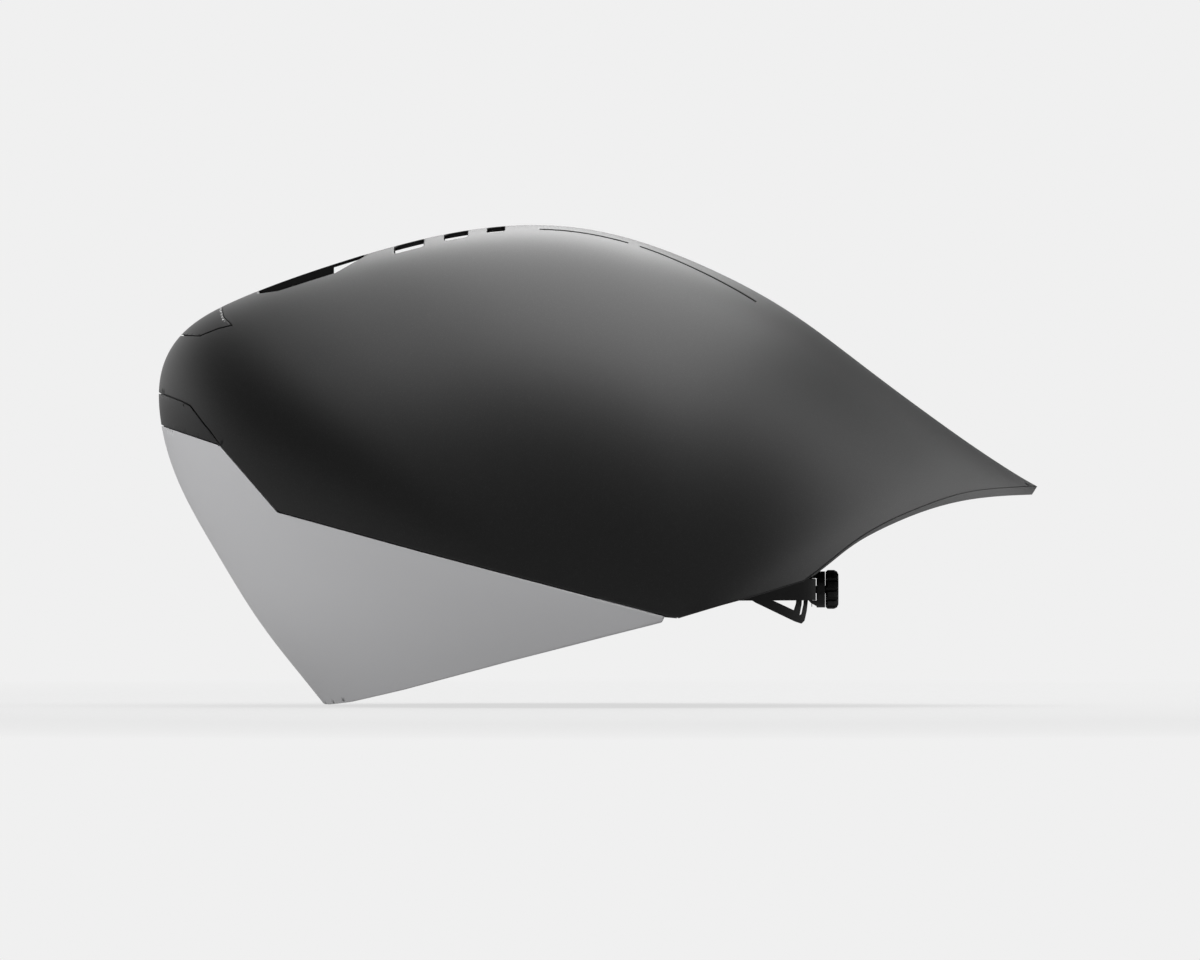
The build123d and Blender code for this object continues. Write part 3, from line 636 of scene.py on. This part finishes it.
PAINT = shell_paint()
LENS = mirror_lens()
FOAM = foam()
TRAY = plastic("gloss_black", 0.008, 0.12, strength=0.02)
SATIN = plastic("satin_black", 0.018, 0.42)
NYLON = plastic("nylon_black", 0.014, 0.38, 1400.0, 0.2)
GRIP = plastic("grip_black", 0.008, 0.62, 1800.0, 0.3)
FIT = plastic("fit_plastic", 0.005, 0.5, 1400.0, 0.2)
PAD = cloth("pad_cloth", 0.03, 0.45)
WEB = cloth("web_cloth", 0.022, 0.32)
THREAD = plastic("thread_grey", 0.06, 0.7)
STEEL = steel()

# Camera: square on to the wearer's left side, with a long lens

FRAME_WIDTH = 0.6
FAR = 12.0
CENTRE_Z = 0.030
SENSOR = 36.0
camera_data = bpy.data.cameras.new("camera")
camera_data.sensor_width = SENSOR
camera_data.lens = SENSOR * FAR / FRAME_WIDTH
camera_data.clip_end = 50.0
camera = bpy.data.objects.new("camera", camera_data)
scene.collection.objects.link(camera)
camera.location = (FAR, 0, CENTRE_Z)
camera.rotation_euler = (radians(90), 0, radians(90))
scene.camera = camera

# Skin pieces


def grown(points, amount):
    """A closed outline moved outward."""
    points = np.array(points, float)
    x, y = points.T
    area = 0.5 * np.sum(x * np.roll(y, -1) - np.roll(x, -1) * y)
    turn_way = 1 if area > 0 else -1
    result = []
    for i in range(len(points)):
        before = points[i] - points[i - 1]
        after = points[(i + 1) % len(points)] - points[i]
        before /= np.linalg.norm(before)
        after /= np.linalg.norm(after)
        n1 = np.array([before[1], -before[0]]) * turn_way
        n2 = np.array([after[1], -after[0]]) * turn_way
        middle = n1 + n2
        middle /= max(0.4, np.dot(middle, n1))
        result.append(tuple(points[i] + middle * amount))
    return result


tail = smooth_run([spot(share) for share in TAIL_EDGE], 60)
rim = rounded([spot(share) for share in FRONT_RIM], RIM_CORNER) + tail[1:]
sky = [spot((1.2, 1.3)), spot((-0.2, 1.3))]
brow_outline = [spot(share) for share in BROW]
crest_outline = [spot(share) for share in CREST]

holes = []
for slot_y, slot_length, slot_reach in SLOTS:
    corners = [
        (SPINE_HALF, slot_y), (slot_reach, slot_y), (slot_reach, slot_y + slot_length),
        (SPINE_HALF, slot_y + slot_length),
    ]
    holes.append(plan_hole(rounded(corners, SLOT_CORNER, ends=False)))
for groove_front, groove_rear, front_x, rear_x in GROOVES:
    run = np.array([rear_x - front_x, groove_rear - groove_front])
    off = np.array([run[1], -run[0]]) / np.linalg.norm(run) * GROOVE_HALF
    a = np.array([front_x, groove_front])
    b = np.array([rear_x, groove_rear])
    holes.append(plan_hole([tuple(a + off), tuple(b + off), tuple(b - off), tuple(a - off)]))
holes.append(side_hole(grown(crest_outline, SEAM)))
holes.append(side_hole([spot(share) for share in INLET]))
holes.append(side_hole(grown(brow_outline, SEAM)))
form_patch("shell_skin", rim + sky, holes, SHELL_WALL, "helmet", ("outer_shell",), PAINT)
lens_outline = rounded(
    [(y, z - SEAM) for y, z in [spot(share) for share in FRONT_RIM[:6]]]
    + [spot(LENS_REAR)] + [spot(share) for share in LENS_LOW], LENS_CORNER, 3, ends=False
)
form_patch(
    "shield_skin", lens_outline, [], LENS_WALL, "shield", ("shield_lens",), LENS,
    edge=0.45,
)
form_patch(
    "brow_skin", brow_outline, [], SHELL_WALL, "helmet", ("brow_panel",), PAINT,
    grid=2.5, edge=0.25,
)
form_patch(
    "crest_skin", crest_outline, [], SHELL_WALL, "helmet", ("crest_panel",), PAINT,
    grid=2.0, edge=0.08,
)

# Strips that close the panels' seams from below

BACKING_LAP = 2.5
BACKING_WALL = 0.4
BACKING_SINK = 1.25
for name, outline in (("brow_backing", brow_outline), ("crest_backing", crest_outline)):
    form_patch(
        name, grown(outline, BACKING_LAP), [], BACKING_WALL, "helmet", (), SATIN,
        grid=2.5, edge=0.1, sink=BACKING_SINK,
    )

# The rib under the spine: its section as half widths and insets, and its way along the crest

RIB_SECTION = [(-3.4, 1.0), (3.4, 1.0), (3.4, 2.0), (2.6, 2.4), (-2.6, 2.4), (-3.4, 2.0)]
RIB_FRONT, RIB_REAR, RIB_STEP = -106.0, -44.0, 2.0

# The dial's washer: radius and depth round its section, from its face by the housing

WASHER = [(4.0, 0.06), (8.6, 0.06), (8.8, 0.2), (8.6, 0.36), (4.0, 0.36)]
WASHER_BACK = 0.42
WASHER_SIDES = 48


def spine_rib():
    """The thicker bar along the crest between the two rows of slots."""
    verts, faces = [], []
    ys = np.arange(RIB_FRONT, RIB_REAR, RIB_STEP)
    for y in ys:
        for x, inset in RIB_SECTION:
            angle, turn = from_plan(abs(x), y)
            px, py, pz = on_form(angle, turn, inset)
            verts.append((x * MM, float(py) * MM, float(pz) * MM))
    sides = len(RIB_SECTION)
    for row in range(len(ys) - 1):
        for k in range(sides):
            a, b = row * sides + k, row * sides + (k + 1) % sides
            faces.append((a, b, b + sides, a + sides))
    faces.append(tuple(reversed(range(sides))))
    faces.append(tuple(range((len(ys) - 1) * sides, len(ys) * sides)))
    add_piece("spine_rib", verts, faces, "helmet", (), SATIN, smooth=False)


def washer():
    """A thin felt washer between the dial and its housing."""
    low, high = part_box("dial_knob")
    centre_x, centre_z = (low[0] + high[0]) / 2, (low[2] + high[2]) / 2
    verts, faces = [], []
    for radius, depth in WASHER:
        for k in range(WASHER_SIDES):
            at = 2 * pi * k / WASHER_SIDES
            verts.append((
                centre_x + radius * MM * cos(at), low[1] - WASHER_BACK * MM + depth * MM,
                centre_z + radius * MM * sin(at),
            ))
    for ring in range(len(WASHER)):
        first, after = ring * WASHER_SIDES, (ring + 1) % len(WASHER) * WASHER_SIDES
        for k in range(WASHER_SIDES):
            turned = (k + 1) % WASHER_SIDES
            faces.append((first + k, first + turned, after + turned, after + k))
    add_piece("dial_washer", verts, faces, "dial", (), GRIP)


spine_rib()
washer()

# Pads: welded edges and puffed cells, blown up as cloth. The head's cavity is an ellipsoid over a ring.

CAVITY = (86.0, 107.0, 122.0)
CAVITY_CENTRE = (0.0, 1.0, 10.0)
RING_HALF = (79.0, 103.5)
RING_CENTRE_Y = 0.5
MAP_RADIUS = 92.0
PAD_BACK = 0.3
SIM_SCALE = 10.0
SIM_FRAMES = 20
SIM_PRESSURE = 4.0
# A pad's mesh, the width of its welds, and its thickness before and after it is blown up
PAD_SIZES = (1.7, 1.2, 3.6, 6.8)
# The nape pads' arm: its height, fall and front, the length that it falls over, and its thickness
NAPE_Z, NAPE_FALL, NAPE_FRONT, NAPE_RUN = -29.5, 7.6, 79.2, 16.2
NAPE_ARM = 2.2


def ceiling(x, y, inset):
    """The cavity's ceiling over a place in plan."""
    half_x, half_y, half_z = (half - inset for half in CAVITY)
    share = 1 - (x / half_x) ** 2 - ((y - CAVITY_CENTRE[1]) / half_y) ** 2
    return x, y, CAVITY_CENTRE[2] + half_z * np.sqrt(share)


def around(turn, z, inset):
    """The cavity's wall at a turn from the tail and a height."""
    half_x, half_y, half_z = (half - inset for half in CAVITY)
    share = np.sqrt(1 - (np.maximum(z - CAVITY_CENTRE[2], 0) / half_z) ** 2)
    return half_x * share * np.sin(turn), CAVITY_CENTRE[1] + half_y * share * np.cos(turn), z


def brow_place(a, b, inset):
    """A place on the cavity's wall from the way round it from the brow, and a height."""
    return around(pi - a / MAP_RADIUS, b, inset)


def rear_place(a, b, inset):
    """A place on the cavity's wall from the way round it from the tail, and a height."""
    return around(a / MAP_RADIUS, b, inset)


def nape_place(a, b, inset):
    """A place on the cradle's arm beside the nape, from its way along the helmet and up the arm."""
    half_x, half_y = (half - (inset + NAPE_ARM) for half in RING_HALF)
    z = b + NAPE_Z - NAPE_FALL * (a - NAPE_FRONT) / NAPE_RUN
    return half_x * np.sqrt(1 - ((a - RING_CENTRE_Y) / half_y) ** 2), a, z


def box_outline(a_low, a_high, b_low, b_high):
    """A rectangle's corners."""
    return [(a_low, b_low), (a_high, b_low), (a_high, b_high), (a_low, b_high)]


def puffed(verts, faces, fixed, cap):
    """The closed form blown up as cloth at a larger scale, with fixed points and a capped way."""
    mesh = bpy.data.meshes.new("blown")
    mesh.from_pydata([tuple(v) for v in verts * SIM_SCALE], [], faces)
    obj = bpy.data.objects.new("blown", mesh)
    scene.collection.objects.link(obj)
    group = obj.vertex_groups.new(name="fixed")
    group.add([int(i) for i in np.nonzero(fixed)[0]], 1.0, "REPLACE")
    modifier = obj.modifiers.new("cloth", "CLOTH")
    settings = modifier.settings
    settings.vertex_group_mass = "fixed"
    settings.use_pressure = True
    settings.uniform_pressure_force = SIM_PRESSURE
    settings.effector_weights.gravity = 0.0
    settings.quality = 5
    modifier.point_cache.frame_start = 1
    modifier.point_cache.frame_end = SIM_FRAMES
    for at in range(1, SIM_FRAMES + 1):
        scene.frame_set(at)
    blown = obj.evaluated_get(bpy.context.evaluated_depsgraph_get()).to_mesh()
    moved = np.empty(len(verts) * 3)
    blown.vertices.foreach_get("co", moved)
    way = moved.reshape(-1, 3) / SIM_SCALE - verts
    length = np.linalg.norm(way, axis=1)
    scene.frame_set(1)
    bpy.data.objects.remove(obj)
    bpy.data.meshes.remove(mesh)
    return verts + way * np.minimum(1, cap / np.maximum(length, 1e-9))[:, None]


def make_pad(outline, seams, place, corner, sizes=PAD_SIZES, simulate=True):
    """Verts, faces and map of a pad: a welded edge, welded seams and cells that swell between them."""
    grid, welded, start, full = sizes
    loop = without_repeats(np.array(dense(rounded(outline, corner, 6, ends=False), grid * 0.8)))
    places, faces = mesh_area(loop, [], grid)
    fence = np.concatenate([loop] + [np.array(dense(seam, 0.5, closed=False)) for seam in seams])
    reach = np.array([np.sqrt(np.min(np.sum((fence - point) ** 2, axis=1))) for point in places])
    rise = np.clip((reach - welded) / (2.5 * welded), 0, 1)
    swell = 1.0 + (start - 1.0) * np.sin(rise * pi / 2)
    count = len(places)
    front = np.stack(place(places[:, 0], places[:, 1], PAD_BACK + swell), axis=-1)
    back = np.stack(place(places[:, 0], places[:, 1], np.full(count, PAD_BACK)), axis=-1)
    verts = np.concatenate([front, back]) * MM
    result = [tuple(face) for face in faces] + [tuple(count + i for i in reversed(face)) for face in faces]
    for a, b in sorted(border_of(faces).items()):
        result.append((b, a, count + a, count + b))
    fixed = np.concatenate([reach < welded * 1.05, np.ones(count, bool)])
    mesh = bpy.data.meshes.new("turned")
    mesh.from_pydata([tuple(v) for v in verts], [], result)
    turned = bmesh.new()
    turned.from_mesh(mesh)
    bmesh.ops.recalc_face_normals(turned, faces=turned.faces)
    result = [tuple(v.index for v in face.verts) for face in turned.faces]
    turned.free()
    bpy.data.meshes.remove(mesh)
    if simulate:
        verts = puffed(verts, result, fixed, (full - start) * MM)
    return verts, result, np.concatenate([places, places])


def set_weave(obj, weave):
    """Stores the piece's own map, which its weave follows."""
    data = obj.data.attributes.new("weave", "FLOAT_VECTOR", "POINT")
    flat = np.zeros((len(weave), 3))
    flat[:, :2] = weave
    data.data.foreach_set("vector", flat.ravel())


def add_pad(name, node, body, parts, mirror=False):
    """A pad that replaces its CAD node, from its verts, faces and map, on the left or mirrored."""
    verts, faces, weave = parts
    if mirror:
        verts = verts * MIRRORED
        faces = [tuple(reversed(face)) for face in faces]
    obj = add_piece(name, verts, faces, body, (node,), PAD)
    set_weave(obj, weave)
    smoother = obj.modifiers.new("smooth", "SUBSURF")
    smoother.levels = smoother.render_levels = 1


brow_parts = make_pad(
    box_outline(-72.0, 72.0, 51.5, 73.5),
    [[(-46.0, 51.5), (-42.0, 73.5)], [(-17.0, 51.5), (-14.0, 73.5)], [(17.0, 51.5), (14.0, 73.5)],
     [(46.0, 51.5), (42.0, 73.5)]],
    brow_place, 7.0,
)
add_pad("brow_cushion", "brow_pad", "helmet", brow_parts)
crown_parts = make_pad(
    box_outline(23.3, 42.7, -49.7, 33.7), [[(23.3, -22.0), (42.7, -22.0)], [(23.3, 6.0), (42.7, 6.0)]],
    ceiling, 8.0,
)
add_pad("crown_cushion_left", "crown_pad_left", "helmet", crown_parts)
add_pad("crown_cushion_right", "crown_pad_right", "helmet", crown_parts, mirror=True)
middle_parts = make_pad(box_outline(-14.7, 14.7, 22.3, 65.7), [[(-14.7, 44.0), (14.7, 44.0)]], ceiling, 8.0)
add_pad("rear_crown_cushion", "crown_pad_rear", "helmet", middle_parts)
rear_parts = make_pad(
    [(radians(23.5) * MAP_RADIUS, 34.5), (radians(53.0) * MAP_RADIUS, 34.5),
     (radians(49.0) * MAP_RADIUS, 65.5), (radians(16.0) * MAP_RADIUS, 65.5)],
    [[(radians(37.0) * MAP_RADIUS, 34.5), (radians(33.0) * MAP_RADIUS, 65.5)]],
    rear_place, 5.0,
)
add_pad("rear_cushion_left", "rear_pad_left", "helmet", rear_parts)
add_pad("rear_cushion_right", "rear_pad_right", "helmet", rear_parts, mirror=True)


nape_verts, nape_faces, nape_weave = make_pad(
    box_outline(80.2, 94.8, -1.8, 1.8), [], nape_place, 1.5, sizes=(0.6, 0.45, 3.2, 3.2), simulate=False
)
nape_count = len(nape_verts)
add_pad(
    "nape_cushions", "nape_pads", "fit_carrier",
    (np.concatenate([nape_verts, nape_verts * MIRRORED]),
     nape_faces + [tuple(nape_count + i for i in reversed(face)) for face in nape_faces],
     np.concatenate([nape_weave, nape_weave])),
)

# Straps: flat webbing with rounded selvedges, folded and stitched where it is held

WEB_TOP = 7.95
WEB_THICKNESS = 1.3
WEB_HALF = 6.9
WEB_GAP = 0.25
WEB_STEP = 1.6
ACROSS = 14
# A fold's length, the length over which it ends, and how much thicker it is
FOLD, FOLD_END, FOLD_MORE = 9.5, 1.2, 0.7
# A stitch's length, width and height, and how far it goes into the strap
STITCH = (1.9, 0.55, 0.22)
STITCH_ROOT = 0.12
# A box of stitches: its middle's place along the fold, its sizes and the stitches on a side
BOX_PLACE, BOX_LONG, BOX_WIDE, BOX_STITCHES = 4.8, 6.6, 8.6, 4
# One stitch's mesh, in half lengths, half widths and heights
STITCH_POINTS = [
    (-1, 0, 0), (-0.6, -1, 0), (-0.6, 1, 0), (0.6, -1, 0), (0.6, 1, 0), (1, 0, 0), (-0.5, 0, 1), (0.5, 0, 1),
]
STITCH_FACES = [(0, 1, 6), (0, 6, 2), (1, 3, 7, 6), (2, 6, 7, 4), (3, 5, 7), (4, 7, 5), (0, 2, 4, 5, 3, 1)]


def side_run(start, stop):
    """A strap's place from its share along, its way across and its inset, straight in the side view."""
    start, stop = np.array(start), np.array(stop)
    run = stop - start
    length = np.linalg.norm(run)
    off = np.array([-run[1], run[0]]) / length

    def place(along, across, inset):
        y, z = start + run * (along / length) + off * across
        half_x, half_y, half_z = (half - inset for half in CAVITY)
        share = 1 - ((y - CAVITY_CENTRE[1]) / half_y) ** 2 - (max(z - CAVITY_CENTRE[2], 0) / half_z) ** 2
        return half_x * share ** 0.5, y, z

    return place, length


def over_run(middle_y, low, high):
    """A strap's place over the ceiling between two angles."""
    mean = (CAVITY[0] + CAVITY[2]) / 2
    length = (high - low) * mean

    def place(along, across, inset):
        y = middle_y + across
        half_x, half_y, half_z = (half - inset for half in CAVITY)
        share = (1 - ((y - CAVITY_CENTRE[1]) / half_y) ** 2) ** 0.5
        at = low + along / mean
        return half_x * share * cos(at), y, CAVITY_CENTRE[2] + half_z * share * sin(at)

    return place, length


def strap(name, node, run, folds, mirror=False):
    """A flat strap with a fold of double thickness at the ends that say so, and a box of stitches there."""
    place, length = run
    rows = max(8, int(length / WEB_STEP))
    verts, faces, weave = [], [], []
    for row in range(rows + 1):
        along = length * row / rows
        ripple = 0.18 * sin(along * 0.31) + 0.1 * sin(along * 0.83 + 1)
        double = 0.0
        for fold in folds:
            gone = along if fold == "start" else length - along
            double = max(double, float(np.clip((FOLD - gone) / FOLD_END, 0, 1)))
        thick = WEB_THICKNESS * (1 + FOLD_MORE * double)
        middle = WEB_TOP + WEB_GAP + ripple * (1 - double)
        for side in (0, 1):
            for column in range(ACROSS + 1):
                share = 2 * column / ACROSS - 1
                edge = (1 - abs(share) ** 8) ** 0.5 if abs(share) < 1 else 0.0
                inset = middle + thick / 2 * (1 + (edge if side else -edge))
                verts.append(place(along, WEB_HALF * share, inset))
                weave.append((along, WEB_HALF * share))
    stride = 2 * (ACROSS + 1)
    for row in range(rows):
        for column in range(ACROSS):
            a = row * stride + column
            faces.append((a, a + 1, a + stride + 1, a + stride))
            b = a + ACROSS + 1
            faces.append((b + 1, b, b + stride, b + stride + 1))
        for column in (0, ACROSS):
            a = row * stride + column
            ring = (a, a + stride, a + stride + ACROSS + 1, a + ACROSS + 1)
            faces.append(ring if column == 0 else tuple(reversed(ring)))
    for row, turn_back in ((0, False), (rows, True)):
        for column in range(ACROSS):
            a = row * stride + column
            ring = (a, a + ACROSS + 1, a + ACROSS + 2, a + 1)
            faces.append(tuple(reversed(ring)) if turn_back else ring)
    cloth_faces = len(faces)
    for fold in folds:
        for along, across, lengthwise in stitch_box():
            at = along if fold == "start" else length - along
            add_stitch(verts, faces, weave, place, at, across, lengthwise)
    verts = np.array(verts) * MM
    if mirror:
        verts = verts * MIRRORED
        faces = [tuple(reversed(face)) for face in faces]
    obj = add_piece(name, verts, faces, "helmet", (node,), WEB)
    obj.data.materials.append(THREAD)
    for polygon in obj.data.polygons[cloth_faces:]:
        polygon.material_index = 1
    merged = bmesh.new()
    merged.from_mesh(obj.data)
    bmesh.ops.recalc_face_normals(merged, faces=merged.faces)
    merged.to_mesh(obj.data)
    merged.free()
    set_weave(obj, weave)


def stitch_box():
    """Places of the stitches round a box: along, across, and whether each runs lengthwise."""
    result = []
    half_long, half_wide = BOX_LONG / 2, BOX_WIDE / 2
    for k in range(BOX_STITCHES):
        share = (k + 0.5) / BOX_STITCHES
        at = BOX_PLACE - half_long + BOX_LONG * share
        result += [(at, -half_wide, True), (at, half_wide, True)]
        across = -half_wide + BOX_WIDE * share
        result += [(BOX_PLACE - half_long, across, False), (BOX_PLACE + half_long, across, False)]
    return result


def add_stitch(verts, faces, weave, place, along, across, lengthwise):
    """One raised stitch of thread on the inner face of a doubled strap."""
    half_length, half_width, height = STITCH[0] / 2, STITCH[1] / 2, STITCH[2]
    low = WEB_TOP + WEB_GAP + WEB_THICKNESS * (1 + FOLD_MORE) - STITCH_ROOT
    first = len(verts)
    for u, v, h in STITCH_POINTS:
        a, b = (u * half_length, v * half_width) if lengthwise else (v * half_width, u * half_length)
        verts.append(place(along + a, across + b, low + h * (height + STITCH_ROOT)))
        weave.append((along + a, across + b))
    for face in STITCH_FACES:
        faces.append(tuple(first + i for i in face))


for side, flipped in (("left", False), ("right", True)):
    front = side_run((-38.0, 44.0), (0.0, 41.5))
    rear = side_run((58.0, 20.0), (15.5, 37.9))
    chin = over_run(8.0, radians(19.8), radians(67.2))
    strap("front_strap_" + side, "web_front_" + side, front, ["start"], flipped)
    strap("rear_strap_" + side, "web_rear_" + side, rear, ["start"], flipped)
    strap("chin_strap_" + side, "web_chin_" + side, chin, ["stop"], flipped)

# Materials of the CAD nodes that stay

dress = {
    "shield_seat": SATIN, "seat_magnets": STEEL, "shield_magnets": STEEL, "inlet_tray": TRAY,
    "tail_underpanel": SATIN, "rim_trim": SATIN, "band_posts": NYLON, "strap_anchors": NYLON,
    "foam_liner": FOAM, "strap_divider_left": NYLON, "strap_divider_right": NYLON,
    "buckle_socket": NYLON, "buckle_prongs": NYLON, "height_socket": FIT, "fit_cradle": FIT,
    "dial_housing": FIT, "housing_cover": FIT, "housing_screws": STEEL, "dial_knob": GRIP,
    "dial_pinion": NYLON, "band_left": FIT, "band_right": FIT,
}
for name, material in dress.items():
    node = nodes[name]
    node.data.materials.clear()
    node.data.materials.append(material)

# Floor, world and lamps

FLOOR_Z = -0.0828
BACKDROP = 0.871
ROOM = 0.05
# The way to the backdrop's middle, and how far round it lights the helmet
BACKDROP_WAY = (-0.765, -0.6, -0.22)
BACKDROP_EDGE = (0.5, 0.85)
FLOOR_GLOW = 0.3
FLOOR_COLOR = 0.6
FLOOR_HALF = 30.0
# How much of the floor's shadow shows, and how far out it fades away
SHADOW_SHARE = 0.22
SHADOW_REACH = (1.6, 0.8)


def plain_emission(tree, value):
    """A grey that needs no light."""
    node = tree.nodes.new("ShaderNodeEmission")
    node.inputs["Color"].default_value = (value, value, value, 1)
    return node.outputs["Emission"]


def floor():
    """A pale floor that takes a faint shadow round the helmet and fades into the backdrop."""
    mesh = bpy.data.meshes.new("floor")
    corners = [(x * FLOOR_HALF, y * FLOOR_HALF, FLOOR_Z) for x, y in ((-1, -1), (1, -1), (1, 1), (-1, 1))]
    mesh.from_pydata(corners, [], [(0, 1, 2, 3)])
    obj = bpy.data.objects.new("floor", mesh)
    scene.collection.objects.link(obj)
    material = bpy.data.materials.new("floor")
    material.use_nodes = True
    tree = material.node_tree
    shader = tree.nodes["Principled BSDF"]
    shader.inputs["Base Color"].default_value = (FLOOR_COLOR, FLOOR_COLOR, FLOOR_COLOR, 1)
    shader.inputs["Roughness"].default_value = 1.0
    shader.inputs["Specular IOR Level"].default_value = 0.0
    path = tree.nodes.new("ShaderNodeLightPath")
    glow = tree.nodes.new("ShaderNodeMixShader")
    tree.links.new(path.outputs["Is Camera Ray"], glow.inputs["Fac"])
    tree.links.new(plain_emission(tree, FLOOR_GLOW), glow.inputs[1])
    tree.links.new(plain_emission(tree, BACKDROP), glow.inputs[2])
    plain = glow.outputs["Shader"]
    faint = tree.nodes.new("ShaderNodeMixShader")
    faint.inputs["Fac"].default_value = SHADOW_SHARE
    tree.links.new(plain, faint.inputs[1])
    tree.links.new(shader.outputs["BSDF"], faint.inputs[2])
    gradient = tree.nodes.new("ShaderNodeTexGradient")
    gradient.gradient_type = "SPHERICAL"
    mapping = tree.nodes.new("ShaderNodeMapping")
    mapping.inputs["Scale"].default_value = (1 / SHADOW_REACH[0], 1 / SHADOW_REACH[1], 0)
    tree.links.new(coordinates(tree), mapping.inputs["Vector"])
    tree.links.new(mapping.outputs["Vector"], gradient.inputs["Vector"])
    fade = ramp(tree, gradient.outputs["Fac"], [(0.0, (1, 1, 1)), (0.45, (0, 0, 0))])
    mix = tree.nodes.new("ShaderNodeMixShader")
    tree.links.new(fade, mix.inputs["Fac"])
    tree.links.new(faint.outputs["Shader"], mix.inputs[1])
    tree.links.new(plain, mix.inputs[2])
    tree.links.new(mix.outputs["Shader"], tree.nodes["Material Output"].inputs["Surface"])
    mesh.materials.append(material)


def world():
    """A pale backdrop behind the helmet and a dim room on the near side."""
    studio = bpy.data.worlds.new("studio")
    scene.world = studio
    studio.use_nodes = True
    tree = studio.node_tree
    background = tree.nodes["Background"]
    along = tree.nodes.new("ShaderNodeVectorMath")
    along.operation = "DOT_PRODUCT"
    along.inputs[1].default_value = BACKDROP_WAY
    tree.links.new(tree.nodes.new("ShaderNodeTexCoord").outputs["Generated"], along.inputs[0])
    stops = [(BACKDROP_EDGE[0], (ROOM,) * 3), (BACKDROP_EDGE[1], (BACKDROP,) * 3)]
    tone = ramp(tree, along.outputs["Value"], stops)
    tree.links.new(tone, background.inputs["Color"])
    seen = tree.nodes.new("ShaderNodeBackground")
    seen.inputs["Color"].default_value = (BACKDROP, BACKDROP, BACKDROP, 1)
    path = tree.nodes.new("ShaderNodeLightPath")
    mix = tree.nodes.new("ShaderNodeMixShader")
    tree.links.new(path.outputs["Is Camera Ray"], mix.inputs["Fac"])
    tree.links.new(background.outputs["Background"], mix.inputs[1])
    tree.links.new(seen.outputs["Background"], mix.inputs[2])
    tree.links.new(mix.outputs["Shader"], tree.nodes["World Output"].inputs["Surface"])


def lamp(name, place, target, size, power):
    """A soft rectangular lamp that points at a target."""
    data = bpy.data.lights.new(name, "AREA")
    data.shape = "RECTANGLE"
    data.size, data.size_y = size
    data.energy = power
    obj = bpy.data.objects.new(name, data)
    scene.collection.objects.link(obj)
    obj.location = place
    obj.rotation_euler = (Vector(target) - Vector(place)).to_track_quat("-Z", "Y").to_euler()
    return obj


floor()
world()
lamp("top_light", (-0.15, 0.3, 1.5), (-0.15, 0.3, 0.0), (2.5, 1.7), 38.0)
lamp("rear_light", (0.15, 1.6, 1.25), (0.0, 0.1, 0.06), (1.0, 0.45), 3.5)
face_light = lamp("face_light", (0.9, -1.55, 0.15), (0.0, -0.1, -0.02), (1.4, 0.4), 11.0)
face_light.visible_glossy = False
lamp("back_light", (-1.5, 0.05, 1.1), (0.0, 0.0, 0.1), (0.85, 0.7), 9.5)

scene.view_settings.view_transform = "Standard"
